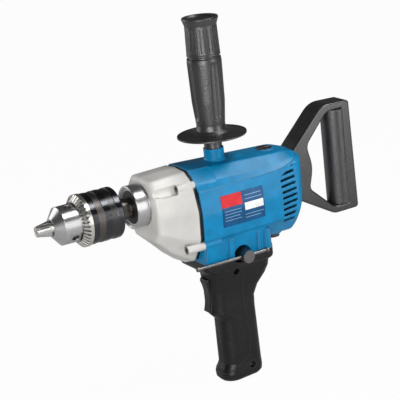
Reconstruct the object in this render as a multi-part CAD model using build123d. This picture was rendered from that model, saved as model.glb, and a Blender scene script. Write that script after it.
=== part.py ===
from build123d import *
import os
from math import acos, atan2, cos, degrees, pi, radians, sin, sqrt, tan

# A slow rotary drill with a keyed chuck, a pistol grip, a rear D handle and an upright side handle.
# The spindle lies along X with the chuck towards -X, +Z is up, and the origin is on the spindle axis
# at the front face of the chuck's nose. All sizes are in millimetres.

# Clearances
running = 0.05
seating = 0.05
slip = 0.35
wall = 3.2

# Chuck
nose_length = 26.0
nose_cone = 8.0
nose_tip_r = 10.0
nose_r = 19.7
bit_bore_r = 8.3
bevel_length = 4.5
bevel_rise = 5.3
bevel_r = 27.2
bevel_band = 4.5
bevel_teeth = 36
bevel_tooth_depth = 1.5
sleeve_r = 26.5
sleeve_length = 35.7
sleeve_wall = 2.9
sleeve_round = 2.3
sleeve_groove = 0.45
sleeve_groove_width = 7.0
sleeve_groove_setbacks = (6.7, 21.2)
chuck_recess = 1.2
nut_length = 10.0
jaw_r = 5.0
jaw_slant = 12.0
jaw_reach = 16.0
jaw_tip_r = 5.4
jaw_length = 50.0
jaw_gap = 0.3
jaw_grip_r = 1.5
jaw_travel = 31.0
jaw_turn = 40.0
key_hole_r = 4.05
key_hole_setback = 6.5
key_flat_depth = 1.3
key_flat_half = 9.0
key_flat_length = 14.0
lock_screw_r = 3.0
lock_screw_head_r = 4.8
lock_screw_head = 4.0
chuck_web = 4.5

# Spindle, its neck and its bearings
thread_r = 7.9
thread_length = 25.0
neck_r = 11.0
neck_flats = 19.0
chuck_gap = 16.3
collar_r = 22.5
collar_wall = 3.0
collar_length = 15.5
spigot_wall = 2.0
seal_width = 4.0
bearing_width = 10.0
journal_r = 8.5
gear_seat_r = 8.0
rear_journal_r = 6.0
bush_wall = 2.5
bush_length = 7.0

# Gears
pressure_angle = 20.0
addendum = 0.8
dedendum = 1.05
tooth_thinning = 0.22
output_module = 1.25
output_teeth = 38
output_pinion_teeth = 10
input_module = 1.0
input_teeth = 31
input_pinion_teeth = 7
output_gear_width = 11.0
input_gear_width = 9.0
gear_spacing = 4.0
counter_journal_r = 4.0

# Gear case, inner plate and their screws
case_depth = 42.5
case_wall = 2.6
case_top = 30.0
case_half_width = 42.5
case_drop = 74.0
case_corner = 6.0
case_nose_round = 5.0
case_bulge = 4.0
plate_thick = 4.0
boss_r = 4.5
screw_r = 2.0
screw_head_r = 3.6
screw_head = 3.6
socket_r = 1.9
socket_depth = 2.0
screw_bite = 15.0
upper_screw_y = 29.5
upper_screw_z = 15.5
lower_screw_y = 37.5
lower_screw_z = -48.0
boss_length = 20.5
channel_r = 5.4
channel_shift = 1.6
channel_setback = 8.0

# Motor
motor_drop = 20.0
shaft_r = 6.0
shaft_front_r = 5.0
shaft_rear_r = 4.0
front_bearing_r = 13.0
front_bearing_width = 8.0
rear_bearing_r = 11.0
rear_bearing_width = 7.0
fan_r = 31.0
fan_width = 12.0
fan_blades = 11
fan_plate = 1.8
core_r = 21.5
core_length = 46.0
core_slots = 12
air_gap = 0.8
field_r = 35.0
field_yoke = 6.0
pole_span = 100.0
winding_length = 9.0
commutator_r = 14.5
commutator_length = 18.0
commutator_bars = 24
brush_width = 9.0
brush_thick = 6.0
brush_length = 14.0
brush_spring_r = 2.4
holder_r = 7.6
cap_r = 8.6
cap_thick = 4.5
cap_stand_out = 0.4
low_cap_stand_out = 4.0

# Motor housing
housing_length = 136.0
housing_top = 31.2
housing_half_width = 43.6
housing_belly = 66.0
housing_top_fall = 5.5
housing_taper = 3.0
housing_facet_foot = 9.6
housing_cap = 20.0
housing_cap_drop = 9.5
housing_plan_round = 38.0
housing_tail = (
    (14.0, 44.0), (6.0, 22.0), (1.5, 8.0), (0.0, -7.0), (1.2, -21.0), (4.5, -31.0), (9.5, -40.0),
    (15.0, -48.5), (20.0, -55.5), (25.5, -62.0), (32.0, -67.5), (44.0, -75.0),
)
housing_end = ((0.0, 8.0), (2.5, 18.0), (7.0, 29.5), (12.0, 37.0), (19.5, 44.8), (27.0, 51.0), (45.0, 61.0))
shoulder_step = 0.9
shoulder_line = (
    (-2.0, 9.6), (30.0, 9.5), (60.0, 9.5), (82.0, 9.6), (90.5, 9.9), (97.0, 10.3), (103.0, 11.0),
    (109.0, 12.1), (113.5, 13.2), (118.0, 14.5), (122.0, 15.8), (126.0, 17.4), (131.0, 20.0), (138.0, 26.0),
)
recess_length = 28.0
recess_depth = 2.0
recess_ramp = 4.0
skirt_length = 83.0
skirt_half_width = 37.0
skirt_flare = 3.0
skirt_bottom = -70.0
skirt_corner = 9.0
skirt_pilaster = 2.2
vent_count = 10
vent_pitch = 6.25
vent_height = 3.2
vent_length = 18.5
vent_slant = 6.0
vent_top = 11.5
vent_setback = 29.0
plate_width = 51.0
plate_height = 33.0
plate_setback = 23.0
plate_sheet = 0.6
plate_drop = 0.4

# Side handle
handle_setback = 44.0
handle_boss_r = 10.7
handle_boss_top = 40.5
handle_boss_flare = 2.0
stem_r = 9.4
flange_base = 52.5
flange_r = 36.4
flange_thick = 3.0
flange_rim = 1.6
barrel_foot_r = 15.0
barrel_r = 18.1
barrel_neck_r = 16.7
handle_cap_r = 19.1
handle_cap = 7.0
handle_top = 178.0
flute_count = 4
flute_r = 9.0
flute_depth = 1.3
flute_low = 76.0
flute_high = 128.0
rib_count = 26
rib_slot = 0.9
rib_depth = 0.6
stud_r = 5.0
stud_grip = 46.0
stud_bite = 16.0
insert_wall = 2.4

# Rear handle
rear_handle_reach = 74.0
rear_handle_top = 60.0
rear_handle_bottom = -63.0
rear_handle_half_width = 13.0
rear_handle_bar = 11.5
rear_strap = 8.5
rear_lower_strap = 13.0
rear_base_top = 22.0
rear_base_bottom = -37.0
rear_base_thick = 15.0
rear_base_reach = 14.0
rear_bulge = 6.0
rear_edge = 2.0
rear_grip_r = 14.5
rear_grip_core = 7.5
rear_screw_top = 9.0
rear_screw_bottom = -25.0

# Pistol grip, trigger and switch
grip_depth = 43.0
grip_half_width = 17.5
grip_bottom = -215.0
grip_setback = 26.0
grip_front_round = 14.0
grip_rear_round = 10.0
grip_panel_depth = 0.8
grip_wall = 3.0
flange_drop = 15.0
flange_overhang = 5.5
flange_half_width = 32.0
lip_reach = 4.0
foot_rise = 18.0
foot_tilt = 4.5
cheek_reach = 9.0
trigger_top = -98.0
trigger_height = 42.0
trigger_half_width = 7.5
trigger_reach = 3.0
trigger_dish = 3.5
trigger_travel = 5.0
trigger_depth = 18.0
spring_r = 2.6
spring_wall = 0.8
switch_length = 15.0
switch_clearance = 0.2
switch_pocket = 6.0
grip_screw_r = 1.9
grip_screw_head_r = 3.4
grip_screw_sink = 7.0
cord_bore_r = 4.0
gland_wall = 2.5
gland_length = 16.0
gland_setback = 16.5
clamp_thick = 4.0
clamp_span = 7.2
clamp_edge = 1.6
clamp_rise = 27.0
clamp_screw_r = 1.6
foot_screw_r = 2.1
foot_screw_inset = 11.0

# Chuck key
key_x_setback = 45.0
key_z = -69.0
key_shank_r = 6.7
key_gear_r = 9.6
key_gear_length = 9.0
key_teeth = 11
key_pilot_r = 3.9
key_pilot_length = 9.0
key_length = 68.0
key_stand_out = 13.0
key_tunnel_r = 10.4
key_tunnel_wall = 2.4
bar_r = 1.7
bar_length = 87.0
bar_offset = -16.0
bar_knob_r = 2.4
bar_knob = 3.0
bar_inset = 6.0

# Stations along the spindle axis, from the chuck's nose backwards
sleeve_front = nose_length
sleeve_body = sleeve_front + bevel_length + bevel_band
sleeve_rear = sleeve_body + sleeve_length
body_rear = sleeve_rear - chuck_recess
collar_front = sleeve_rear + chuck_gap
case_front = collar_front + collar_length
plate_front = case_front + case_depth
housing_front = plate_front + plate_thick
housing_rear = housing_front + housing_length
handle_x = housing_front + handle_setback
key_x = housing_front + key_x_setback
grip_x = housing_front + grip_setback
motor_z = -motor_drop

# Gear train: the counter shaft stands where both meshes close
output_distance = output_module * (output_teeth + output_pinion_teeth) / 2
input_distance = input_module * (input_teeth + input_pinion_teeth) / 2
counter_z = (input_distance**2 - output_distance**2 - motor_drop**2) / (2 * motor_drop)
counter_y = sqrt(output_distance**2 - counter_z**2)
output_gear_x = case_front + wall + gear_spacing
input_gear_x = output_gear_x + output_gear_width + gear_spacing
bush_x = plate_front - bush_length + 1.0
bearing_x = case_front - bearing_width + 1.0
seal_x = bearing_x - seal_width
front_bearing_x = plate_front + wall
fan_x = front_bearing_x + front_bearing_width + gear_spacing
core_x = fan_x + fan_width + winding_length + gear_spacing
core_end = core_x + core_length
commutator_x = core_end + winding_length + gear_spacing
commutator_end = commutator_x + commutator_length
rear_bearing_x = commutator_end + gear_spacing
brush_x = commutator_x + commutator_length / 2


# Basic solids


def rod(x0, x1, radius, y=0.0, z=0.0):
    """A round bar along X."""
    return Pos((x0 + x1) / 2, y, z) * Rot(0, 90, 0) * Cylinder(radius, x1 - x0)


def post(z0, z1, radius, x=0.0, y=0.0):
    """A round bar along Z."""
    return Pos(x, y, (z0 + z1) / 2) * Cylinder(radius, z1 - z0)


def pin(y0, y1, radius, x=0.0, z=0.0):
    """A round bar along Y."""
    return Pos(x, (y0 + y1) / 2, z) * Rot(90, 0, 0) * Cylinder(radius, y1 - y0)


def slab(x0, x1, y0, y1, z0, z1):
    """A box between two corners."""
    return Pos((x0 + x1) / 2, (y0 + y1) / 2, (z0 + z1) / 2) * Box(x1 - x0, y1 - y0, z1 - z0)


def turned(profile):
    """A turned solid: the profile is a list of (station along X, radius)."""
    return revolve(make_face(Polyline([(x, 0, r) for x, r in profile], close=True)), Axis.X)


def outline(points, radii):
    """A flat face with straight sides and rounded corners."""
    return make_face(FilletPolyline(*points, radius=radii, close=True))


def side_plate(points, radii, half_width):
    """A plate whose outline is drawn in the XZ plane, as thick as twice half_width along Y."""
    return extrude(Plane.XZ * outline(points, radii), half_width, both=True)


def curved_plate(curve, corners, half_width):
    """A plate in the XZ plane, bounded by a smooth curve and then by straight lines past some corners."""
    rest = Polyline(curve[-1], *corners, curve[0])
    return extrude(Plane.XZ * make_face([Spline(*curve), rest]), half_width, both=True)


def section(x, half, radii):
    """A cross section at station x: half lists (y, z) from the top centre to the bottom centre."""
    mirrored = [(-y, z) for y, z in half[-2:0:-1]]
    corner = list(radii) + list(radii[-2:0:-1])
    return Plane.YZ.offset(x) * outline(half + mirrored, corner)


def inset(half, margin):
    """The same half outline, drawn in by a margin on all sides."""
    top = half[0][1]
    bottom = half[-1][1]
    middle = (top + bottom) / 2
    widest = max(abs(y) for y, z in half)
    across = 1 - margin / widest
    along = 1 - 2 * margin / (top - bottom)
    return [(y * across, middle + (z - middle) * along) for y, z in half]


def group(solids):
    """Several separate solids that share one node."""
    return Compound(list(solids))


# Gears and bearings


def involute(angle):
    return tan(angle) - angle


def gear_outline(teeth, module, tooth_angle):
    """A spur gear's outline, with one tooth centred on tooth_angle degrees."""
    pitch_r = teeth * module / 2
    base_r = pitch_r * cos(radians(pressure_angle))
    tip_r = pitch_r + addendum * module
    root_r = pitch_r - dedendum * module
    half_tooth = pi / (2 * teeth) * (1 - tooth_thinning) + involute(radians(pressure_angle))
    foot_r = max(base_r, root_r)
    flank = [foot_r + (tip_r - foot_r) * step / 3 for step in range(4)]
    half_profile = [(root_r, half_tooth)] if root_r < base_r else []
    half_profile += [(r, half_tooth - involute(acos(min(1.0, base_r / r)))) for r in flank]
    points = []
    for tooth in range(teeth):
        middle = radians(tooth_angle) + 2 * pi * tooth / teeth
        rising = [(r, middle - a) for r, a in half_profile]
        falling = [(r, middle + a) for r, a in reversed(half_profile)]
        points += [(r * cos(a), r * sin(a)) for r, a in rising + falling]
    return make_face(Polyline(points, close=True))


def spur_gear(x0, x1, teeth, module, tooth_angle, y=0.0, z=0.0):
    """A spur gear on an axis along X through (y, z)."""
    face = Plane.YZ.offset(x0) * Pos(y, z) * gear_outline(teeth, module, tooth_angle)
    return extrude(face, x1 - x0, dir=(1, 0, 0))


def ball_bearing(x0, x1, bore_r, outer_r, y=0.0, z=0.0):
    """Two rings and a row of balls."""
    ring = (outer_r - bore_r) * 0.3
    ball_r = (outer_r - bore_r - 2 * ring) / 2 - 2 * seating + 0.05
    row_r = (outer_r + bore_r) / 2
    count = int(pi * row_r / (1.3 * ball_r))
    inner = rod(x0, x1, bore_r + ring, y, z) - rod(x0, x1, bore_r, y, z)
    outer = rod(x0, x1, outer_r, y, z) - rod(x0, x1, outer_r - ring, y, z)
    balls = []
    for i in range(count):
        turn = 2 * pi * i / count
        spot = Pos((x0 + x1) / 2, y + row_r * cos(turn), z + row_r * sin(turn))
        balls.append(spot * Sphere(ball_r))
    return group([inner, outer] + balls)


def bush(x0, x1, bore_r, y, z):
    """A plain bronze bush."""
    return rod(x0, x1, bore_r + bush_wall, y, z) - rod(x0, x1, bore_r, y, z)


def cap_screw(x_head, length, shank_r, head_r, head, y, z):
    """A socket screw along +X whose head's front face is at x_head."""
    screw = rod(x_head, x_head + head, head_r, y, z)
    screw += rod(x_head + head, x_head + length, shank_r, y, z)
    socket = Plane.YZ.offset(x_head) * Pos(y, z) * RegularPolygon(socket_r, 6)
    return screw - extrude(socket, socket_depth, dir=(1, 0, 0))


# Chuck

jaw_angles = [jaw_turn + 120 * i for i in range(3)]
jaw_half = jaw_r / cos(radians(jaw_slant))
jaw_axis_r = jaw_tip_r - jaw_half


def jaw_line(x):
    """The distance of a jaw's axis from the spindle axis at station x."""
    return jaw_axis_r + tan(radians(jaw_slant)) * (x + jaw_reach)


def jaw_rod(radius, x0, x1, angle):
    """A slanted round bar along one jaw's axis."""
    length = (x1 - x0) / cos(radians(jaw_slant))
    middle = (x0 + x1) / 2
    bar = Pos(middle, 0, jaw_line(middle)) * Rot(0, 90 - jaw_slant, 0) * Cylinder(radius, length)
    return Rot(angle - 90, 0, 0) * bar


def jaw_wedge(x0, x1, angle):
    """The third of the space round the axis that one jaw may fill."""
    far = 3 * sleeve_r
    apex = jaw_gap / 2 / sin(radians(60))
    edge = [(apex + far * cos(radians(side)), far * sin(radians(side))) for side in (-60, 60)]
    face = Rot(0, 0, angle) * make_face(Polyline([(apex, 0)] + edge, close=True))
    return extrude(Plane.YZ.offset(x0) * face, x1 - x0, dir=(1, 0, 0))


def make_jaw(angle):
    rear = jaw_length - jaw_reach
    jaw = jaw_rod(jaw_r, -jaw_reach - 2 * jaw_r, rear + 2 * jaw_r, angle)
    jaw = jaw & jaw_wedge(-jaw_reach, rear, angle)
    return jaw - rod(-jaw_reach - 1, rear + 1, jaw_grip_r)


nut_front = sleeve_front + 2.0
nut_rear = nut_front + nut_length
groove_r = jaw_line(nut_front) + jaw_half - wall / 2
rear_body_r = sleeve_r - sleeve_wall - slip
spindle_tip = body_rear - thread_length
web_front = spindle_tip - chuck_web
open_rear = jaw_length - jaw_reach + jaw_travel * cos(radians(jaw_slant))
jaw_hole_rear = open_rear + jaw_r * sin(radians(jaw_slant)) + 2 * slip


def make_chuck_body():
    body = turned([
        (0, bit_bore_r),
        (0, nose_tip_r),
        (nose_cone, nose_r),
        (nut_front - slip, nose_r),
        (nut_front - slip, groove_r),
        (nut_rear + slip, groove_r),
        (nut_rear + slip, rear_body_r),
        (body_rear, rear_body_r),
        (body_rear, thread_r + seating),
        (spindle_tip - seating, thread_r + seating),
        (spindle_tip - seating, lock_screw_r + seating),
        (web_front, lock_screw_r + seating),
        (web_front, bit_bore_r),
    ])
    hole = pin(-2 * nose_r, 0, key_hole_r, nose_length - key_hole_setback, 0)
    hole += slab(nose_length - key_flat_length, nut_front, -2 * nose_r, key_flat_depth - nose_r,
                 -key_flat_half, key_flat_half)
    for angle in jaw_angles:
        body -= jaw_rod(jaw_r + running, -jaw_reach, jaw_hole_rear, angle)
        body -= Rot(angle + 60 + 180, 0, 0) * hole
    return body


def make_chuck_lock_screw():
    head_front = web_front - lock_screw_head
    screw = rod(head_front, web_front - seating, lock_screw_head_r)
    screw += rod(web_front - seating, spindle_tip + 12.0, lock_screw_r)
    return screw - slab(head_front, head_front + 1.2, -lock_screw_head_r, lock_screw_head_r, -0.7, 0.7)


def make_chuck_sleeve():
    inner_r = sleeve_r - sleeve_wall
    outer = [(sleeve_front, bevel_r - bevel_rise), (sleeve_front + bevel_length, bevel_r)]
    outer += [(sleeve_body, bevel_r), (sleeve_body, sleeve_r)]
    for setback in sleeve_groove_setbacks:
        start = sleeve_body + setback
        end = start + sleeve_groove_width
        outer += [(start, sleeve_r), (start, sleeve_r - sleeve_groove)]
        outer += [(end, sleeve_r - sleeve_groove), (end, sleeve_r)]
    sleeve = turned(
        [(sleeve_front, nose_r + slip)]
        + outer
        + [
            (sleeve_rear, sleeve_r),
            (sleeve_rear, inner_r),
            (nut_front, inner_r),
            (nut_front, nose_r + slip),
        ]
    )
    rear_edge_line = sleeve.edges().filter_by(GeomType.CIRCLE).sort_by(Axis.X)[-2:]
    sleeve = fillet(rear_edge_line.sort_by(SortBy.RADIUS)[-1], sleeve_round)
    slope = degrees(atan2(bevel_rise, bevel_length))
    middle_x = sleeve_front + bevel_length / 2
    middle_r = bevel_r - bevel_rise / 2
    space = 2 * pi * middle_r / bevel_teeth
    run = 2 * (bevel_length + bevel_rise)
    notch = make_face(Polyline(
        (-space * 0.33, bevel_tooth_depth),
        (space * 0.33, bevel_tooth_depth),
        (space * 0.12, -bevel_tooth_depth),
        (-space * 0.12, -bevel_tooth_depth),
        close=True,
    ))
    cutter = extrude(Plane.YZ * notch, run, both=True)
    cutter = Pos(middle_x, 0, middle_r) * Rot(0, -slope, 0) * cutter
    cutter &= slab(sleeve_front - run, sleeve_front + bevel_length + 1.0, -run, run, 0, 2 * bevel_r)
    teeth = [Rot(360 * i / bevel_teeth, 0, 0) * cutter for i in range(bevel_teeth)]
    return sleeve - teeth


def make_chuck_nut():
    inner = [(x, jaw_line(x) + jaw_half + slip) for x in (nut_front, nut_rear)]
    outer_r = sleeve_r - sleeve_wall - seating
    return turned([
        (nut_front + seating, inner[0][1]),
        (nut_front + seating, outer_r),
        (nut_rear, outer_r),
        (nut_rear, inner[1][1]),
    ])


# Spindle


def make_spindle():
    spindle = turned([
        (spindle_tip, 0),
        (spindle_tip, thread_r),
        (body_rear, thread_r),
        (body_rear, neck_r),
        (bearing_x, neck_r),
        (bearing_x, journal_r),
        (output_gear_x, journal_r),
        (output_gear_x, gear_seat_r),
        (bush_x - 2.0, gear_seat_r),
        (bush_x - 2.0, rear_journal_r),
        (bush_x + bush_length - slip, rear_journal_r),
        (bush_x + bush_length - slip, 0),
    ])
    for side in (-1, 1):
        edge = sorted((side * neck_flats / 2, side * 2 * neck_r))
        spindle -= slab(body_rear + 2.0, collar_front - 2.0, edge[0], edge[1], -neck_r, neck_r)
    return spindle - rod(spindle_tip - 1, spindle_tip + 12.0 + slip, lock_screw_r + seating)


def make_spindle_gear():
    mesh = degrees(atan2(counter_z, counter_y))
    x1 = output_gear_x + output_gear_width
    gear = spur_gear(output_gear_x, x1, output_teeth, output_module, mesh)
    return gear - rod(output_gear_x - 1, x1 + 1, gear_seat_r + seating)


def make_spindle_front_bearing():
    outer_r = collar_r - collar_wall - spigot_wall
    return ball_bearing(bearing_x + seating, bearing_x + bearing_width, journal_r + running, outer_r)


def make_spindle_seal():
    outer_r = collar_r - collar_wall - spigot_wall
    return rod(seal_x, seal_x + seal_width, outer_r) - rod(seal_x, seal_x + seal_width, neck_r + running)


def make_neck_collar():
    inner_r = collar_r - collar_wall
    collar = turned([
        (collar_front, inner_r + 1.4),
        (collar_front, collar_r - 0.8),
        (collar_front + 0.8, collar_r),
        (case_front - 2.4, collar_r),
        (case_front - 2.4, collar_r - 0.7),
        (case_front - 1.2, collar_r - 0.7),
        (case_front - 1.2, collar_r),
        (case_front, collar_r),
        (case_front, inner_r),
        (collar_front + 1.6, inner_r),
    ])
    return collar


# Counter shaft

counter_front_x = case_front + wall / 2
output_mesh = degrees(atan2(counter_z, counter_y))
input_mesh = degrees(atan2(motor_z - counter_z, -counter_y))


def make_counter_shaft():
    pinion_end = input_gear_x - 1.0
    half_tooth = 180 / output_pinion_teeth
    teeth_angle = output_mesh + 180 + half_tooth
    shaft = spur_gear(output_gear_x - 0.5, pinion_end, output_pinion_teeth, output_module, teeth_angle,
                      counter_y, counter_z)
    shaft += rod(counter_front_x + slip, bush_x + bush_length - slip, counter_journal_r, counter_y, counter_z)
    return shaft


def make_counter_gear():
    x1 = input_gear_x + input_gear_width
    gear = spur_gear(input_gear_x, x1, input_teeth, input_module, input_mesh, counter_y, counter_z)
    return gear - rod(input_gear_x - 1, x1 + 1, counter_journal_r + seating, counter_y, counter_z)


def make_counter_front_bush():
    end = output_gear_x - 1.0
    return bush(counter_front_x, end, counter_journal_r + running, counter_y, counter_z)


def make_counter_rear_bush():
    return bush(bush_x, bush_x + bush_length, counter_journal_r + running, counter_y, counter_z)


def make_spindle_rear_bush():
    return bush(bush_x, bush_x + bush_length, rear_journal_r + running, 0, 0)


# Gear case and inner plate

case_rear_half = [
    (0, case_top),
    (-case_half_width * 0.45, case_top - 1.5),
    (-case_half_width * 0.78, case_top - 10.0),
    (-case_half_width, -case_half_width * 0.25),
    (-case_half_width * 0.95, -case_drop * 0.55),
    (-case_half_width * 0.54, -case_drop * 0.9),
    (0, -case_drop),
]
case_front_half = [
    (0, case_top - 1.5),
    (-case_half_width * 0.48, case_top - 3.0),
    (-case_half_width * 0.7, case_top - 16.0),
    (-case_half_width * 0.78, -case_half_width * 0.14),
    (-case_half_width * 0.74, -case_drop * 0.34),
    (-case_half_width * 0.55, -case_drop * 0.49),
    (0, -case_drop * 0.51),
]
case_sag = [0, 0, 0, 0, 0.5, 1, 1]
case_radii = [0, case_corner, case_corner, case_corner * 3, case_corner, case_corner, 0]
screw_spots = [
    (side * y, z)
    for side in (-1, 1)
    for y, z in ((upper_screw_y, upper_screw_z), (lower_screw_y, lower_screw_z))
]
screw_seat = housing_front - boss_length + screw_head
input_relief = input_module * (input_teeth / 2 + addendum) + 2 * slip


def case_part(x, margin):
    """The case's outline at station x, drawn in by a margin; its underside is full, not straight."""
    share = (x - case_front) / case_depth
    fullness = 4 * share * (1 - share) * case_bulge
    half = []
    for front, rear, sag in zip(case_front_half, case_rear_half, case_sag):
        y, z = (a + (b - a) * share for a, b in zip(front, rear))
        half.append((y, z - fullness * sag))
    return section(x, inset(half, margin) if margin else half, case_radii)


def make_gear_case():
    stations = [case_front + case_depth * share for share in (0, 0.4, 0.7, 1)]
    shell = loft([case_part(x, 0) for x in stations], ruled=True)
    shell = fillet(shell.faces().sort_by(Axis.X)[0].edges(), case_nose_round)
    hollow = loft([case_part(case_front + wall, case_wall), case_part(plate_front, case_wall)], ruled=True)
    bush_r = counter_journal_r + bush_wall
    spigot_r = collar_r - collar_wall - seating
    added = [
        rod(case_front, output_gear_x - 1.0, bush_r + wall, counter_y, counter_z) & shell,
        rod(seal_x, case_front + wall, spigot_r),
    ]
    cut = [
        rod(seal_x - 1, case_front + 1.0, spigot_r - spigot_wall + 2 * seating),
        rod(case_front, output_gear_x, journal_r + wall),
        rod(counter_front_x, output_gear_x, bush_r + seating, counter_y, counter_z),
        rod(input_gear_x - 1.0, input_gear_x + input_gear_width + 1.0, input_relief, counter_y, counter_z),
    ]
    for y, z in screw_spots:
        inward = boss_r * 3 * (-1 if y > 0 else 1)
        web = slab(screw_seat, plate_front, min(y, y + inward), max(y, y + inward),
                   z - boss_r / 2, z + boss_r / 2)
        added.append(rod(case_front, plate_front, boss_r + 1.6, y, z) & shell)
        added.append(rod(screw_seat - screw_head, housing_front, boss_r, y, z))
        added.append(web - hollow)
        cut.append(rod(case_front - 2 * wall, screw_seat, screw_head_r + slip, y, z))
        cut.append(rod(screw_seat - 1, housing_front + 1, screw_r + seating, y, z))
    for side in (-1, 1):
        y = side * (upper_screw_y + channel_shift)
        start = case_front + channel_setback
        cut.append(rod(start, screw_seat - screw_head, channel_r, y, upper_screw_z))
        cut.append(Pos(start, y, upper_screw_z) * Sphere(channel_r))
    return shell - hollow + added - cut


def make_gear_case_screws():
    length = boss_length + screw_bite
    head_x = screw_seat - screw_head
    return group(cap_screw(head_x, length, screw_r, screw_head_r, screw_head, y, z) for y, z in screw_spots)


def make_inner_plate():
    plate = extrude(case_part(plate_front, 0.8), plate_thick, dir=(1, 0, 0))
    lip_length = case_wall / 2
    lip = extrude(case_part(plate_front, case_wall + lip_length), lip_length, dir=(-1, 0, 0))
    lip -= extrude(case_part(plate_front, 2 * case_wall + lip_length), lip_length, dir=(-1, 0, 0))
    plate += lip
    bearing_end = front_bearing_x + front_bearing_width
    plate += rod(plate_front, bearing_end, front_bearing_r + wall, 0, motor_z)
    for y, z, journal in ((0, 0, rear_journal_r), (counter_y, counter_z, counter_journal_r)):
        plate += rod(bush_x + 1.0, housing_front, journal + bush_wall + wall, y, z)
    for y, z, journal in ((0, 0, rear_journal_r), (counter_y, counter_z, counter_journal_r)):
        plate -= rod(bush_x - wall, bush_x + bush_length, journal + bush_wall + seating, y, z)
    plate -= rod(front_bearing_x, bearing_end + 1, front_bearing_r + seating, 0, motor_z)
    plate -= rod(plate_front - 2 * wall, bearing_end, shaft_front_r + 1.5, 0, motor_z)
    for y, z in screw_spots:
        plate -= rod(plate_front - 2 * wall, housing_front + 1, boss_r + 1.6 + seating, y, z)
    plate -= rod(input_gear_x, input_gear_x + input_gear_width + 1.0, input_relief, counter_y, counter_z)
    return plate


# Motor


def make_armature_shaft():
    pinion_end = input_gear_x + input_gear_width + 1.0
    tooth = input_mesh + 180 + 180 / input_pinion_teeth
    shaft = spur_gear(input_gear_x - 1.0, pinion_end + 1.0, input_pinion_teeth, input_module, tooth,
                      0, motor_z)
    seat_r = input_module * (input_pinion_teeth / 2 + addendum)
    shaft += rod(pinion_end, front_bearing_x, seat_r, 0, motor_z)
    shaft += rod(front_bearing_x, front_bearing_x + front_bearing_width, shaft_front_r, 0, motor_z)
    shaft += rod(front_bearing_x + front_bearing_width, rear_bearing_x, shaft_r, 0, motor_z)
    shaft += rod(rear_bearing_x, rear_bearing_x + rear_bearing_width, shaft_rear_r, 0, motor_z)
    return shaft


def make_armature_core():
    core = rod(core_x, core_end, core_r, 0, motor_z) - rod(core_x, core_end, shaft_r + seating, 0, motor_z)
    slot = slab(core_x - 1, core_end + 1, -1.1, 1.1, core_r - 6.0, core_r + 1)
    return core - [Pos(0, 0, motor_z) * Rot(360 * i / core_slots, 0, 0) * slot for i in range(core_slots)]


def make_armature_windings():
    heads = []
    for x0, x1, big, small in (
        (core_x - winding_length, core_x, 0.72, 0.92),
        (core_end, core_end + winding_length, 0.92, 0.72),
    ):
        head = turned([
            (x0, shaft_r + seating),
            (x0, core_r * big),
            (x1, core_r * small),
            (x1, shaft_r + seating),
        ])
        heads.append(Pos(0, 0, motor_z) * head)
    return group(heads)


def make_commutator():
    drum = rod(commutator_x, commutator_end, commutator_r, 0, motor_z)
    drum += rod(commutator_x, commutator_x + 2.5, commutator_r + 1.6, 0, motor_z)
    drum -= rod(commutator_x - 1, commutator_end + 1, shaft_r + seating, 0, motor_z)
    slit = slab(commutator_x - 1, commutator_end + 1, -0.25, 0.25, commutator_r - 1.0, commutator_r + 3.0)
    turns = [360 * i / commutator_bars for i in range(commutator_bars)]
    return drum - [Pos(0, 0, motor_z) * Rot(turn, 0, 0) * slit for turn in turns]


def make_cooling_fan():
    fan = rod(fan_x, fan_x + fan_plate, fan_r, 0, motor_z)
    fan += rod(fan_x, fan_x + fan_width, shaft_r + wall, 0, motor_z)
    blade = slab(fan_x + fan_plate / 2, fan_x + fan_width, -0.8, 0.8, shaft_r + wall / 2, fan_r - 0.5)
    for i in range(fan_blades):
        fan += Pos(0, 0, motor_z) * Rot(360 * i / fan_blades, 0, 0) * blade
    return fan - rod(fan_x - 1, fan_x + fan_width + 1, shaft_r + seating, 0, motor_z)


def make_armature_front_bearing():
    end = front_bearing_x + front_bearing_width
    return ball_bearing(front_bearing_x + seating, end, shaft_front_r + running, front_bearing_r, 0, motor_z)


def make_armature_rear_bearing():
    end = rear_bearing_x + rear_bearing_width
    return ball_bearing(rear_bearing_x + seating, end, shaft_rear_r + running, rear_bearing_r, 0, motor_z)


def fan_sector(x0, x1, inner_r, outer_r, middle, span):
    """A slice of a tube round the motor's axis, span degrees wide."""
    far = 2 * outer_r
    arms = [radians(middle + side * span / 2) for side in (-1, 1)]
    tip = far * 2 * cos(radians(span / 4))
    fan_points = [(0, 0), (far * cos(arms[0]), far * sin(arms[0]))]
    fan_points.append((tip * cos(radians(middle)), tip * sin(radians(middle))))
    fan_points.append((far * cos(arms[1]), far * sin(arms[1])))
    face = make_face(Polyline(fan_points, close=True))
    wedge = extrude(Plane.YZ.offset(x0) * Pos(0, motor_z) * face, x1 - x0, dir=(1, 0, 0))
    return (rod(x0, x1, outer_r, 0, motor_z) - rod(x0, x1, inner_r, 0, motor_z)) & wedge


bore_r = core_r + air_gap
yoke_r = field_r - field_yoke


def make_field_core():
    core = rod(core_x, core_end, field_r, 0, motor_z) - rod(core_x, core_end, yoke_r, 0, motor_z)
    for middle in (0, 180):
        core += fan_sector(core_x, core_end, bore_r, yoke_r + 0.5, middle, pole_span)
    return core


def make_field_coils():
    coils = []
    overhang = winding_length * 0.6
    for middle in (0, 180):
        coil = fan_sector(core_x - overhang, core_end + overhang, bore_r + 0.6, yoke_r - slip, middle, 168)
        coil -= fan_sector(core_x - slip, core_end + slip, bore_r - 1, yoke_r + 1, middle, pole_span + 4)
        coils.append(coil)
    return group(coils)


# Brush gear: one set above the commutator and one below

brush_foot = commutator_r + slip
holder_foot = commutator_r + 2.0
cap_outer_top = housing_top - shoulder_step - housing_top_fall + 2.0 + motor_drop
cap_outer_bottom = housing_belly - motor_drop + 1.8 + low_cap_stand_out
low_cap_thick = cap_thick + low_cap_stand_out - cap_stand_out


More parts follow.
